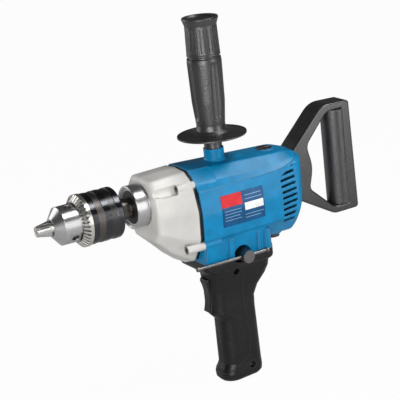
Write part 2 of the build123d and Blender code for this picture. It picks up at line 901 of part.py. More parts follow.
def above_and_below(make):
    """The same piece above and below the motor's axis; make takes the cap's outer end and thickness."""
    upper = Pos(brush_x, 0, motor_z) * make(cap_outer_top, cap_thick)
    lower = Pos(brush_x, 0, motor_z) * Rot(180, 0, 0) * make(cap_outer_bottom, low_cap_thick)
    return group([upper, lower])


def make_brush_holders():
    def holder(outer, thick):
        body = post(holder_foot, outer - thick - seating, holder_r)
        hole = (brush_width / 2 + running, brush_thick / 2 + running)
        return body - slab(-hole[0], hole[0], -hole[1], hole[1], holder_foot - 1, outer)

    return above_and_below(holder)


def make_carbon_brushes():
    def brush(outer, thick):
        half = (brush_width / 2, brush_thick / 2)
        return slab(-half[0], half[0], -half[1], half[1], brush_foot, brush_foot + brush_length)

    return above_and_below(brush)


def make_brush_springs():
    def spring(outer, thick):
        foot = brush_foot + brush_length
        top = outer - thick
        return post(foot, top, brush_spring_r) - post(foot, top, brush_spring_r - 0.9)

    return above_and_below(spring)


def make_brush_caps():
    def cap(outer, thick):
        body = post(outer - thick, outer, cap_r - seating)
        return body - slab(-cap_r, cap_r, -0.9, 0.9, outer - 1.6, outer + 1)

    return above_and_below(cap)


# Motor housing


def housing_half(share):
    """Half of the housing's cross section, from the top centre to the bottom centre.

    share runs from 0 at the front to 1 at the rear; the slanted upper flank fades out near the rear.
    """
    top = housing_top - housing_top_fall * share
    wide = housing_half_width - housing_taper * share
    fade = max(0.0, share - facet_end) / (1 - facet_end)
    return [
        (0, top),
        (-wide * 0.48, top - 1.7),
        (-wide * (0.79 - 0.1 * fade), top - 12.8 + 7.0 * fade),
        (-wide * (0.915 - 0.04 * fade), housing_facet_foot + 4.1 * fade),
        (-wide, -wide * 0.39),
        (-wide * 0.97, -housing_belly * 0.65),
        (-wide * 0.64, -housing_belly * 0.925),
        (0, -housing_belly),
    ]


facet_end = 0.68
housing_radii = [0, 4.0, 9.0, 4.0, 30.0, 3.0, 12.0, 0]


def housing_sections(stations, margin):
    """Cross sections at several stations; each station comes with how far it is drawn in."""
    faces = []
    for x, drop in stations:
        half = housing_half((x - housing_front) / housing_length)
        drawn_in = margin + drop
        faces.append(section(x, inset(half, drawn_in) if drawn_in else half, housing_radii))
    return faces


def housing_flanks(margin):
    """The housing's straight flanks, up to where its domed rear end begins."""
    facet_x = housing_front + facet_end * housing_length
    cap_x = housing_rear - margin - housing_cap
    return loft(housing_sections([(x, 0) for x in (housing_front, facet_x, cap_x)], margin), ruled=True)


def housing_dome(margin):
    """The housing's rear end, drawn in along a quarter of an ellipse."""
    cap_x = housing_rear - margin - housing_cap
    dome = []
    for angle in (0, 25, 50, 70, 84):
        along = housing_cap * sin(radians(angle))
        dome.append((cap_x + along, housing_cap_drop * (1 - cos(radians(angle)))))
    return loft(housing_sections(dome, margin))


def lower_corners(margin):
    """What is taken off the lower rear to leave an end that is round about the motor's axis."""
    curve = [(housing_rear - margin - back, radius) for back, radius in housing_end]
    front, rear = curve[-1][0], curve[0][0]
    rest = Polyline(curve[-1], (front, 0), (rear, 0), curve[0])
    turned = revolve(Plane.XZ * make_face([Spline(*curve), rest]), Axis.X)
    half = 2 * housing_half_width
    return slab(front, rear + 1, -half, half, -2 * housing_belly, motor_z) - Pos(0, 0, motor_z) * turned


def housing_shape(margin):
    """The housing's closed outer form, drawn in by a margin."""
    rear = housing_rear - margin
    tail = [(rear - back, z + margin * (z < -housing_belly / 2)) for back, z in housing_tail]
    front = housing_front - 1
    side = curved_plate(tail, [(front, tail[-1][1]), (front, tail[0][1])], housing_half_width + 4)
    half = housing_half_width + 4
    plan = [
        (housing_front - 1, -half),
        (rear - 42.0, -half),
        (rear, -half + 6),
        (rear, half - 6),
        (rear - 42.0, half),
        (housing_front - 1, half),
    ]
    plan_radii = [0, 0, housing_plan_round, housing_plan_round, 0, 0]
    shape = (housing_flanks(margin) + housing_dome(margin)) & side
    level = Plane.XY.offset(-housing_belly - 10) * outline(plan, plan_radii)
    shape &= extrude(level, 2 * housing_belly + 20)
    return shape - lower_corners(margin)


def shoulder_block():
    """All that lies above the shoulder: a crease along each flank that sweeps up at the rear."""
    line = [(housing_front + back, z) for back, z in shoulder_line]
    above = 2 * housing_top
    return curved_plate(line, [(line[-1][0], above), (line[0][0], above)], 2 * housing_half_width)


shoulder = shoulder_block()
housing_outer = housing_shape(0) - shoulder + (housing_shape(shoulder_step) & shoulder)


def skirt_solid(margin):
    """The block below the motor that stands on the pistol grip."""
    half = skirt_half_width - margin
    face = make_face(Polyline(
        (-half - skirt_flare, motor_z - 15),
        (-half, skirt_bottom),
        (half, skirt_bottom),
        (half + skirt_flare, motor_z - 15),
        close=True,
    ))
    block = extrude(Plane.YZ.offset(housing_front + margin) * face, skirt_length - 2 * margin, dir=(1, 0, 0))
    rear = housing_front + skirt_length - margin
    corner = max(skirt_corner - margin, 1.0)
    wide = half + skirt_flare + 1
    level = outline([
        (housing_front, -wide), (rear, -wide + 1), (rear, wide - 1), (housing_front, wide)
    ], [0, corner + 6, corner + 6, 0])
    return block & extrude(Plane.XY.offset(skirt_bottom) * level, 2 * housing_belly)


pilasters = ((1.0, 22.0), (29.0, 5.0), (63.0, 2.5), (72.0, 20.0))


def make_vents():
    """The air slots in both flanks, as cutting blocks; a slanting border cuts the upper ones short."""
    x0 = housing_rear - vent_setback
    front, rear = x0 - vent_length / 2, x0 + vent_length / 2
    low = vent_top - vent_count * vent_pitch
    field = side_plate([
        (front, vent_top - 1.5 * vent_pitch),
        (rear, vent_top + vent_height / 2),
        (rear, vent_top - 6 * vent_pitch),
        (rear - vent_pitch, low),
        (front, low),
    ], [0, 0, 0, 0, 0], 2 * housing_half_width)
    depth = housing_half_width / 2
    field -= slab(front - 1, rear + 1, -depth, depth, -2 * housing_belly, 2 * housing_top)
    slots = []
    for i in range(vent_count):
        slot = Pos(x0, 0, vent_top - i * vent_pitch) * Rot(0, -vent_slant, 0)
        slots.append(slot * Box(2 * vent_length, 4 * housing_half_width, vent_height) & field)
    return slots


def recess_face(x, depth):
    """The pocket's section at station x: no depth at its foot, deepest under the upper crease."""
    top, bend, foot = housing_half((x - housing_front) / housing_length)[1:4]
    run = (bend[0] - foot[0], bend[1] - foot[1])
    length = sqrt(run[0] ** 2 + run[1] ** 2)
    inward = (run[1] / length, -run[0] / length)

    def moved(point, distance):
        return (point[0] + distance * inward[0], point[1] + distance * inward[1])

    high = -2 * recess_depth
    points = [foot, moved(bend, depth * 0.7), moved(top, depth), moved(top, high), moved(bend, high)]
    return Plane.YZ.offset(x) * make_face(Polyline(points, close=True))


def make_recesses():
    """The pockets at the front of both slanted upper flanks, each with a sloped rear end."""
    end = housing_front + recess_length
    pocket = loft([
        recess_face(housing_front - 1, recess_depth),
        recess_face(end - recess_ramp, recess_depth),
        recess_face(end, -recess_depth / 2),
    ], ruled=True)
    return [pocket, mirror(pocket, Plane.XZ)]


def make_motor_housing():
    inside = housing_shape(wall)
    skirt = skirt_solid(0)
    skirt_inside = skirt_solid(wall)
    added = [skirt - skirt_inside - inside]
    cut = make_vents()
    floor = slab(housing_front, housing_front + skirt_length - 1, -skirt_half_width, skirt_half_width,
                 -housing_belly, -housing_belly + wall)
    added.append(floor & skirt)
    for x0 in (core_x + 4.0, core_end - 10.0):
        rib = rod(x0, x0 + 6.0, 2 * field_r, 0, motor_z) & inside
        added.append(rib - rod(x0 - 1, x0 + 7.0, field_r + seating, 0, motor_z))
    rear_end = rear_bearing_x + rear_bearing_width
    bearing_boss = rod(rear_bearing_x, housing_rear - wall / 2, rear_bearing_r + wall, 0, motor_z)
    added.append(bearing_boss & housing_outer)
    cut.append(rod(rear_bearing_x - 1, rear_end + seating, rear_bearing_r + seating, 0, motor_z))
    cut.append(rod(rear_end, rear_end + 2.0, shaft_rear_r + 2.0, 0, motor_z))
    well_r = holder_r + seating + wall * 0.8
    for side, outer, stand_out, thick in (
        (-1, cap_outer_bottom, low_cap_stand_out, low_cap_thick), (1, cap_outer_top, cap_stand_out, cap_thick)
    ):
        ends = sorted((motor_z + side * (holder_foot + 2), motor_z + side * (outer - stand_out)))
        added.append(post(ends[0], ends[1], well_r, brush_x))
        ends = sorted((motor_z + side * (outer - thick - 3.0), motor_z + side * (outer - stand_out)))
        added.append(post(ends[0], ends[1], cap_r + 2.4, brush_x))
        ends = sorted((motor_z + side * (outer - thick), motor_z + side * (outer + 1)))
        cut.append(post(ends[0], ends[1], cap_r, brush_x))
    cut.append(post(motor_z - cap_outer_bottom, motor_z + cap_outer_top, holder_r + seating, brush_x))
    added.append(post(handle_boss_top - stud_bite - wall, handle_boss_top, handle_boss_r, handle_x))
    flare_z = housing_top - shoulder_step - housing_top_fall / 2 + handle_boss_flare / 2
    flare = Cone(handle_boss_r + handle_boss_flare, handle_boss_r, 2 * handle_boss_flare)
    added.append(Pos(handle_x, 0, flare_z) * flare)
    insert_r = stud_r + insert_wall + seating
    cut.append(post(handle_boss_top - stud_bite, handle_boss_top + 1, insert_r, handle_x))
    cut += make_recesses()
    band = skirt_solid(-skirt_pilaster) - skirt_inside - inside
    for setback, width in pilasters:
        x0 = housing_front + setback
        strip = slab(x0, x0 + width, -2 * skirt_half_width, 2 * skirt_half_width, skirt_bottom, lower_screw_z)
        added.append(strip & band)
    for z in rear_screw_spots:
        screw_boss = rod(housing_rear - 2.5 * wall, housing_rear - wall / 2, screw_r + wall, 0, z)
        added.append(screw_boss & housing_outer)
        cut.append(rod(housing_rear - 2.2 * wall, housing_rear + 1, screw_r + seating, 0, z))
    for x, y in foot_screw_spots:
        added.append(post(skirt_bottom, -housing_belly + wall, foot_screw_r + wall, x, y))
        cut.append(post(skirt_bottom - 1, -housing_belly + wall - 1.5, foot_screw_r + seating, x, y))
    for y, z in screw_spots:
        screw_end = housing_front + screw_bite + 2.0
        bolt_boss = rod(housing_front, screw_end + 3.0, boss_r if z < motor_z else boss_r - 0.6, y, z)
        added.append(bolt_boss if z < motor_z else bolt_boss & housing_outer)
        cut.append(rod(housing_front - 1, screw_end, screw_r + seating, y, z))
    tube = pin(-skirt_half_width + 1, skirt_half_width - 1, key_tunnel_r + key_tunnel_wall, key_x, key_z)
    added.append(tube & skirt)
    cut.append(pin(-2 * skirt_half_width, skirt_half_width - 8.0, key_tunnel_r, key_x, key_z))
    return housing_outer - inside + added - cut


def make_rating_plate():
    x0 = housing_front + plate_setback
    top = -plate_drop
    plate = slab(x0, x0 + plate_width, -2 * housing_half_width, 0, top - plate_height, top)
    return (plate & housing_flanks(-plate_sheet)) - housing_flanks(0)


# Side handle


def make_side_handle_grip():
    rise = handle_top - flange_base
    rim_top = flange_base + flange_thick
    groove_z = flange_base + rise * 0.675
    shape = [
        (0, handle_boss_top + seating),
        (stem_r, handle_boss_top + seating),
        (stem_r, flange_base),
        (flange_r - 4.0, flange_base + 0.4),
        (flange_r, rim_top - flange_rim),
        (flange_r, rim_top),
        (flange_r - 1.2, rim_top),
        (flange_r - 2.4, rim_top - 0.7),
        (barrel_foot_r + 5, rim_top + 2.0),
        (barrel_foot_r + 1, rim_top + 5.0),
        (barrel_foot_r, rim_top + 10),
        (barrel_r - 0.9, flange_base + rise * 0.3),
        (barrel_r, groove_z - 5.5),
        (barrel_r - 0.4, groove_z - 1.4),
        (barrel_r - 1.9, groove_z - 0.7),
        (barrel_r - 1.9, groove_z + 0.7),
        (barrel_r - 0.6, groove_z + 1.4),
        (barrel_r - 0.6, groove_z + 2.6),
        (barrel_r - 1.3, groove_z + 3.0),
        (barrel_r - 0.7, groove_z + 3.6),
        (barrel_neck_r, handle_top - handle_cap - 1.0),
        (barrel_neck_r + 0.4, handle_top - handle_cap),
        (handle_cap_r - 0.4, handle_top - 2.4),
        (handle_cap_r, handle_top - 1.4),
        (handle_cap_r - 0.6, handle_top),
        (handle_cap_r - 2.6, handle_top),
        (handle_cap_r - 5, handle_top - 2.2),
        (0, handle_top - 2.6),
    ]
    profile = make_face(Polyline([(r, 0, z) for r, z in shape], close=True))
    grip = revolve(profile, Axis.Z)
    lean = degrees(atan2(barrel_r - barrel_foot_r, groove_z - rim_top - 10))
    middle = (flute_low + flute_high) / 2
    half = (flute_high - flute_low) / 2
    share = (middle - rim_top - 10) / (groove_z - rim_top - 10)
    surface_r = barrel_foot_r + (barrel_r - barrel_foot_r) * share
    flute = post(-half, half, flute_r)
    flute += [Pos(0, 0, end) * Sphere(flute_r) for end in (-half, half)]
    flute = Pos(surface_r + flute_r - flute_depth, 0, middle) * Rot(0, lean, 0) * flute
    slot = slab(barrel_neck_r - rib_depth, barrel_r + 1, -rib_slot / 2, rib_slot / 2,
                groove_z + 6.0, handle_top - handle_cap - 4.0)
    cut = [Rot(0, 0, 360 * i / flute_count) * flute for i in range(flute_count)]
    cut += [Rot(0, 0, 360 * i / rib_count) * slot for i in range(rib_count)]
    cut.append(post(handle_boss_top - 1, handle_boss_top + stud_grip + seating, stud_r + seating))
    return Pos(handle_x, 0, 0) * (grip - cut)


def make_side_handle_stud():
    return post(handle_boss_top - stud_bite + 1.0, handle_boss_top + stud_grip, stud_r, handle_x)


def make_side_handle_insert():
    z0 = handle_boss_top - stud_bite
    sleeve = post(z0, handle_boss_top, stud_r + insert_wall, handle_x)
    return sleeve - post(z0 - 1, handle_boss_top + 1, stud_r + seating, handle_x)


# Rear handle

rear_x = housing_rear + rear_handle_reach
base_x = housing_rear - 1.0
window_x = housing_rear + rear_base_thick
bar_front = rear_x - rear_handle_bar
rear_grip_x = bar_front - 2.5
rear_window_top = rear_handle_top - rear_strap
rear_window_bottom = rear_handle_bottom + rear_strap
rear_screw_spots = (rear_screw_top, rear_screw_bottom)


def make_rear_handle():
    rise = rear_handle_top - rear_base_top
    corner_x = base_x + rise
    frame = side_plate([
        (base_x - rear_base_reach, rear_base_top - rear_base_reach),
        (base_x, rear_base_top),
        (corner_x, rear_handle_top),
        (rear_x - 1.0, rear_handle_top - 1.0),
        (rear_x + 1.5, rear_handle_bottom + 0.5),
        (corner_x + 7.0, rear_handle_bottom),
        (base_x, rear_base_bottom),
        (base_x - rear_base_reach, rear_base_bottom + rear_base_reach * 0.6),
    ], [0, 0, 24.0, 3.5, 4.0, 16.0, 0, 0], rear_handle_half_width)
    strap_run = rear_strap * sqrt(2)
    window = side_plate([
        (window_x, rear_base_top - 2.0),
        (window_x + rear_window_top - rear_base_top + 2.0 - strap_run / 4, rear_window_top),
        (bar_front, rear_window_top),
        (bar_front, rear_window_bottom),
        (corner_x + 7.0, rear_window_bottom),
        (window_x, rear_base_bottom + rear_lower_strap - 4.0),
        (window_x + rear_bulge, (rear_base_top + rear_base_bottom) / 2 + 3.0),
    ], [12.0, 14.0, 0, 0, 9.0, 8.0, 40.0], 2 * rear_handle_half_width)
    frame -= window
    frame = fillet(frame.faces().filter_by(Axis.Y).edges(), rear_edge)
    core = slab(bar_front - rear_grip_core * 1.2, bar_front + 1, -rear_grip_core, rear_grip_core,
                rear_window_bottom - 1, rear_window_top + 1)
    frame += core
    frame -= housing_shape(-seating)
    for z in rear_screw_spots:
        frame -= rod(housing_rear - 2 * wall, rear_x - rear_handle_bar, screw_r + seating, 0, z)
        frame -= rod(window_x - 4.0, bar_front - rear_grip_core * 2, screw_head_r + 0.4, 0, z)
    return frame


def make_rear_handle_grip():
    grip = post(rear_window_bottom + slip, rear_window_top - slip, rear_grip_r, rear_grip_x)
    grip &= slab(rear_grip_x - 2 * rear_grip_r, bar_front - seating, -2 * rear_grip_r, 2 * rear_grip_r,
                 rear_handle_bottom, rear_handle_top)
    return grip - slab(bar_front - rear_grip_core * 1.2 - seating, bar_front + 1, -rear_grip_core - seating,
                       rear_grip_core + seating, rear_handle_bottom, rear_handle_top)


def make_rear_handle_screws():
    screws = []
    for z in rear_screw_spots:
        head_x = window_x - 4.0
        screw = rod(head_x, head_x + screw_head, screw_head_r, 0, z)
        screw += rod(housing_rear - 2 * wall, head_x, screw_r, 0, z)
        socket = Plane.YZ.offset(head_x + screw_head) * Pos(0, z) * RegularPolygon(socket_r, 6)
        screws.append(screw - extrude(socket, socket_depth, dir=(-1, 0, 0)))
    return group(screws)


# Pistol grip

grip_rear = grip_x + grip_depth
flange_rear = housing_front + skirt_length + flange_overhang
flange_bottom = skirt_bottom - flange_drop
trigger_bottom = trigger_top - trigger_height
cheek_x = grip_x - cheek_reach
grip_screw_spots = [
    (grip_x + 18.0, flange_bottom - 7.0),
    (grip_x + 28.5, grip_bottom + 13.0),
]


gland_x = grip_x + gland_setback
clamp_spots = [(gland_x + side * clamp_span, grip_bottom + clamp_rise) for side in (-1, 1)]
foot_screw_spots = [
    (x, side * (flange_half_width - foot_screw_inset / 2))
    for x in (housing_front + 2 * foot_screw_inset, housing_front + skirt_length - foot_screw_inset)
    for side in (-1, 1)
]


grip_levels = [
    (flange_bottom + 2.0, cheek_x - 3.0, flange_rear - 0.5, grip_half_width + 5.0),
    (flange_bottom - 4.0, cheek_x - 2.0, flange_rear - 0.2, grip_half_width + 5.0),
    (trigger_top + 3.0, cheek_x, flange_rear - 1.0, grip_half_width + 4.0),
    (flange_bottom - 18.0, cheek_x, grip_rear + 15.0, grip_half_width + 2.0),
    (flange_bottom - 29.0, cheek_x, grip_rear + 5.5, grip_half_width + 0.4),
    (flange_bottom - 40.0, cheek_x, grip_rear, grip_half_width),
    (trigger_bottom + 3.0, cheek_x, grip_rear - 0.5, grip_half_width),
    (trigger_bottom - 7.0, grip_x, grip_rear - 0.3, grip_half_width),
    (grip_bottom + foot_rise, grip_x, grip_rear + 0.9, grip_half_width),
    (grip_bottom + 13.0, grip_x - lip_reach * 0.6, grip_rear + 1.0, grip_half_width + 0.4),
    (grip_bottom + 8.0, grip_x - lip_reach, grip_rear + 1.0, grip_half_width + 0.7),
    (grip_bottom + 3.5, grip_x - lip_reach + 0.3, grip_rear + 0.5, grip_half_width + 0.4),
    (grip_bottom + 0.8, grip_x - lip_reach + 2.5, grip_rear - 1.5, grip_half_width - 1.2),
    (grip_bottom - 0.6, grip_x + 2.0, grip_rear - 6.0, grip_half_width - 5.0),
]


def grip_oval(level, margin):
    """One section of the grip: a broad round front and a tighter rear; towards the foot it tilts."""
    z, front, rear, half = level
    middle = (front + rear) / 2
    tilt = foot_tilt * max(0, 1 - (z - grip_bottom) / foot_rise)
    half -= margin
    corners = [(front + margin, -half), (rear - margin, -half), (rear - margin, half), (front + margin, half)]
    front_round = min(grip_front_round - margin, half - 1)
    rear_round = min(grip_rear_round - margin, half - 1)
    oval = outline(corners, [front_round, rear_round, rear_round, front_round])
    return Pos(middle, 0, z) * Rot(0, -tilt, 0) * Pos(-middle, 0, 0) * oval


def grip_column(margin, floor):
    """The grip's upright part down to a floor height, drawn in by a margin."""
    return loft([grip_oval(level, margin) for level in grip_levels if level[0] >= floor], ruled=True)


def grip_flange(margin):
    """The broad head of the grip under the housing's skirt, drawn in by a margin."""
    half = flange_half_width - margin
    block = slab(housing_front + 4.0 + margin, flange_rear - margin, -half, half,
                 flange_bottom + margin, skirt_bottom - margin)
    return fillet(block.edges().filter_by(Axis.Z), skirt_corner - margin)


def grip_solid():
    """The closed outer form of both grip halves together, with the sunk panels in its flanks."""
    column = grip_column(0, grip_bottom - 1)
    panel = side_plate([
        (cheek_x - 3 * lip_reach, trigger_top + 5.0),
        (grip_x + 25.0, trigger_top + 5.0),
        (grip_x + 25.0, trigger_bottom - 4.0),
        (grip_x + 28.0, trigger_bottom - 20.0),
        (grip_x + 26.0, grip_bottom + 25.0),
        (grip_x - 3.0, grip_bottom + 8.0),
        (cheek_x - 3 * lip_reach, grip_bottom + 8.0),
    ], [0, 2.0, 9.0, 9.0, 5.0, 0, 0], 2 * grip_half_width)
    flange = grip_flange(0)
    flange = fillet(flange.faces().sort_by(Axis.Z)[0].edges(), skirt_corner * 0.6)
    return column - (panel - grip_column(grip_panel_depth, grip_bottom - 1)) + flange


def grip_hollow():
    """The space inside the grip."""
    return grip_column(grip_wall, grip_bottom + grip_wall) + grip_flange(grip_wall)


grip_outer = grip_solid()
grip_inside = grip_hollow()


def make_grip_half(side):
    """One half of the grip shell; side is -1 for the half that faces -Y."""
    half = slab(0, 2 * housing_rear, min(0, side * 60), max(0, side * 60), 2 * grip_bottom, 0)
    shell = grip_outer & half
    boss = grip_screw_head_r + 1.6
    posts = [pin(-2 * grip_half_width, 2 * grip_half_width, boss, x, z) for x, z in grip_screw_spots]
    tunnel_r = key_tunnel_r + key_tunnel_wall
    posts.append(pin(-2 * grip_half_width, 2 * grip_half_width, tunnel_r, key_x, key_z))
    if side > 0:
        for x, z in clamp_spots:
            posts.append(pin(-cord_bore_r, grip_half_width, clamp_screw_r + 2.0, x, z))
    slot = trigger_half_width + slip
    cut = [
        slab(grip_x - 3 * cheek_reach, grip_x + trigger_depth + trigger_travel, -slot, slot,
             trigger_bottom - slip, trigger_top + slip),
        pin(-2 * skirt_half_width, skirt_half_width - 8.0, key_tunnel_r, key_x, key_z),
        post(grip_bottom - 20, grip_bottom + grip_wall + 2, cord_bore_r + gland_wall + seating, gland_x),
    ]
    for x, z in clamp_spots:
        cut.append(pin(-cord_bore_r - 1, grip_half_width - 4.0, clamp_screw_r + seating, x, z))
    for x, y in foot_screw_spots:
        cut.append(post(flange_bottom - 1, skirt_bottom + 1, foot_screw_r + seating, x, y))
        cut.append(post(flange_bottom - 20, skirt_bottom - grip_wall, foot_screw_r * 2 + 0.3, x, y))
    for x, z in grip_screw_spots:
        cut.append(pin(-60, 60, grip_screw_r + seating, x, z))
        cut.append(pin(-60, -grip_half_width + grip_screw_sink, grip_screw_head_r + 0.3, x, z))
    return shell - grip_inside + [shell & post_bar for post_bar in posts] - cut


def make_grip_screws():
    screws = []
    for x, z in grip_screw_spots:
        head_y = -grip_half_width + grip_screw_sink
        screw = pin(head_y - 2.4, head_y - seating, grip_screw_head_r, x, z)
        screw += pin(head_y - seating, grip_half_width - 4.0, grip_screw_r, x, z)
        screws.append(screw - slab(x - 5, x + 5, head_y - 4, head_y - 1.6, z - 0.5, z + 0.5))
    return group(screws)


def make_trigger():
    front = cheek_x - trigger_reach
    top = trigger_top
    bottom = trigger_bottom
    back = trigger_back
    waist = (top + bottom) / 2
    edge = [
        Line((back, top), (front + 1.0, top)),
        ThreePointArc((front + 1.0, top), (front + 0.2, top - 1.2), (front, top - 3.0)),
        ThreePointArc((front, top - 3.0), (front + trigger_dish, waist), (front + 1.0, bottom + 5.0)),
        Line((front + 1.0, bottom + 5.0), (front + 9.0, bottom)),
        Line((front + 9.0, bottom), (back, bottom)),
        Line((back, bottom), (back, top)),
    ]
    face = make_face(edge)
    trigger = extrude(Plane.XZ * face, trigger_half_width, both=True)
    front_edges = [
        e for f in trigger.faces().filter_by(Axis.Y) for e in f.edges()
        if e.bounding_box().max.X < front + 9.5
    ]
    return fillet(front_edges, 2.2)


switch_x = grip_x + trigger_depth + trigger_travel + slip
trigger_back = grip_x + trigger_depth - trigger_travel


def make_switch_body():
    z0 = trigger_bottom + 4.0
    rear_round = grip_rear_round - grip_wall
    room = grip_rear - grip_wall - switch_x - switch_length
    half = grip_half_width - grip_wall - rear_round + sqrt(rear_round**2 - (rear_round - room) ** 2)
    half -= switch_clearance
    body = slab(switch_x, switch_x + switch_length, -half, half, z0, trigger_top)
    body -= slab(switch_x - 1, switch_x + switch_pocket, -spring_r - slip, spring_r + slip,
                 z0 + 10.0, trigger_top - 10.0)
    return fillet(body.edges().filter_by(Axis.X), 1.5)


def make_trigger_spring():
    z = (trigger_top + trigger_bottom) / 2
    x0 = trigger_back + seating
    x1 = switch_x + switch_pocket - seating
    return rod(x0, x1, spring_r, 0, z) - rod(x0, x1, spring_r - spring_wall, 0, z)


# Cord inlet in the foot of the grip


def make_cord_gland():
    z0 = grip_bottom - 0.6
    gland = post(z0, z0 + gland_length, cord_bore_r + gland_wall, gland_x)
    return gland - post(z0 - 1, z0 + gland_length + 1, cord_bore_r, gland_x)


def make_cord_clamp():
    z = grip_bottom + clamp_rise
    half = clamp_span + clamp_screw_r + clamp_edge
    bar = slab(gland_x - half, gland_x + half, -cord_bore_r - clamp_thick, -cord_bore_r, z - 4.0, z + 4.0)
    for x, z in clamp_spots:
        bar -= pin(-60, 60, clamp_screw_r + seating, x, z)
    return bar


def make_cord_clamp_screws():
    screws = []
    for x, z in clamp_spots:
        seat = -cord_bore_r - clamp_thick
        screw = pin(seat - 2.0, seat, clamp_screw_r * 1.9, x, z)
        screws.append(screw + pin(seat, seat + 14.0, clamp_screw_r, x, z))
    return group(screws)


def make_grip_foot_screws():
    screws = []
    for x, y in foot_screw_spots:
        seat = skirt_bottom - grip_wall
        screw = post(seat - 2.4, seat, foot_screw_r * 1.9, x, y)
        screws.append(screw + post(seat, -housing_belly, foot_screw_r, x, y))
    return group(screws)


# Chuck key

bar_y = -skirt_half_width - skirt_flare - bar_inset + 2.0
key_front = -skirt_half_width - key_stand_out


def make_chuck_key():
    end = key_front + key_length
    gear_y = end - key_pilot_length - key_gear_length
    key = pin(key_front, gear_y + 1, key_shank_r, key_x, key_z)
    cone = [
        (gear_y, 0), (gear_y, key_shank_r), (gear_y + 1.5, key_gear_r),
        (gear_y + 4.0, key_gear_r), (gear_y + key_gear_length, key_pilot_r), (gear_y + key_gear_length, 0),
    ]
    head = revolve(make_face(Polyline([(0, y, r) for y, r in cone], close=True)), Axis.Y)
    notch = slab(-0.9, 0.9, gear_y - 1, gear_y + key_gear_length + 1, key_gear_r - 2.2, key_gear_r + 1)
    head -= [Rot(0, 360 * i / key_teeth, 0) * notch for i in range(key_teeth)]
    key += Pos(key_x, 0, key_z) * head
    key += pin(gear_y + 1, end, key_pilot_r, key_x, key_z)
    key -= rod(key_x - 20, key_x + 20, bar_r + running, bar_y, key_z)
    return key


def make_chuck_key_bar():
    middle = key_x + bar_offset
    bar = rod(middle - bar_length / 2, middle + bar_length / 2, bar_r, bar_y, key_z)
    for end in (-1, 1):
        x = middle + end * bar_length / 2
        bar += rod(min(x, x - end * bar_knob), max(x, x - end * bar_knob), bar_knob_r, bar_y, key_z)
    return bar


# Writing one file for each node

os.makedirs("parts", exist_ok=True)
nodes = {
    "chuck_body": make_chuck_body(),
    "chuck_sleeve": make_chuck_sleeve(),
    "chuck_nut": make_chuck_nut(),
    "chuck_lock_screw": make_chuck_lock_screw(),
    "spindle": make_spindle(),
    "spindle_gear": make_spindle_gear(),
    "spindle_front_bearing": make_spindle_front_bearing(),
    "spindle_rear_bush": make_spindle_rear_bush(),
    "spindle_seal": make_spindle_seal(),
    "neck_collar": make_neck_collar(),
    "counter_shaft": make_counter_shaft(),
    "counter_gear": make_counter_gear(),
    "counter_front_bush": make_counter_front_bush(),
    "counter_rear_bush": make_counter_rear_bush(),
    "gear_case": make_gear_case(),
    "gear_case_screws": make_gear_case_screws(),
    "inner_plate": make_inner_plate(),
    "armature_shaft": make_armature_shaft(),
    "armature_core": make_armature_core(),
    "armature_windings": make_armature_windings(),
    "commutator": make_commutator(),
    "cooling_fan": make_cooling_fan(),
    "armature_front_bearing": make_armature_front_bearing(),
    "armature_rear_bearing": make_armature_rear_bearing(),
    "field_core": make_field_core(),
    "field_coils": make_field_coils(),
    "brush_holders": make_brush_holders(),
    "carbon_brushes": make_carbon_brushes(),
    "brush_springs": make_brush_springs(),
    "brush_caps": make_brush_caps(),
    "motor_housing": make_motor_housing(),
    "rating_plate": make_rating_plate(),
    "side_handle_grip": make_side_handle_grip(),
    "side_handle_stud": make_side_handle_stud(),
    "side_handle_insert": make_side_handle_insert(),
    "rear_handle": make_rear_handle(),
    "rear_handle_grip": make_rear_handle_grip(),
    "rear_handle_screws": make_rear_handle_screws(),
    "grip_left": make_grip_half(-1),
    "grip_right": make_grip_half(1),
    "grip_screws": make_grip_screws(),
    "trigger": make_trigger(),
    "switch_body": make_switch_body(),
    "trigger_spring": make_trigger_spring(),
    "cord_gland": make_cord_gland(),
    "cord_clamp": make_cord_clamp(),
    "cord_clamp_screws": make_cord_clamp_screws(),
    "grip_foot_screws": make_grip_foot_screws(),
    "chuck_key": make_chuck_key(),
    "chuck_key_bar": make_chuck_key_bar(),
}
for i, angle in enumerate(jaw_angles):
    nodes[f"chuck_jaw_{i + 1}"] = make_jaw(angle)
for name, shape in nodes.items():
    export_step(shape, f"parts/{name}.step")
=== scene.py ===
# %% [markdown]
# # A slow rotary drill for big bits
# The drill has a keyed chuck, a pale grey gear case, a blue motor housing and three black grips.
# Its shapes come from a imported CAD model, in metres, with the spindle along X, the chuck towards -X
# and +Z up. Blender's work is the look: the light, the camera and the finish of every surface.

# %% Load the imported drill
import bpy
from math import cos, radians, sin
from mathutils import Matrix, Vector


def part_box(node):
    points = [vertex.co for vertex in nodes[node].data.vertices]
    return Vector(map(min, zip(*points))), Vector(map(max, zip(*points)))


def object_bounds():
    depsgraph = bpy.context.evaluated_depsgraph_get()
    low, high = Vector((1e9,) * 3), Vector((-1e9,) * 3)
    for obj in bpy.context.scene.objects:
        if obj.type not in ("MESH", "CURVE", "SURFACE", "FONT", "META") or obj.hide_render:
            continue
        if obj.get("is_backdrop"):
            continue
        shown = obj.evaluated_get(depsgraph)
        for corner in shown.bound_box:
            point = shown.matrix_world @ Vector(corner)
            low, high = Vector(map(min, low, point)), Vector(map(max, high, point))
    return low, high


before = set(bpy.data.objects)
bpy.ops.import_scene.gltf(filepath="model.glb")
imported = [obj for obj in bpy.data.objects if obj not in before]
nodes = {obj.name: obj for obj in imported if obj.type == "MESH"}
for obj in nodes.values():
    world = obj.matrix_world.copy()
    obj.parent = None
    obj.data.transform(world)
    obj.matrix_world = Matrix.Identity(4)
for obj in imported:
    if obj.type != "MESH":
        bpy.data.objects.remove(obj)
cad_low, cad_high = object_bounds()
print("CAD box in mm:", [round(1000 * v) for v in (*cad_low, *cad_high)])

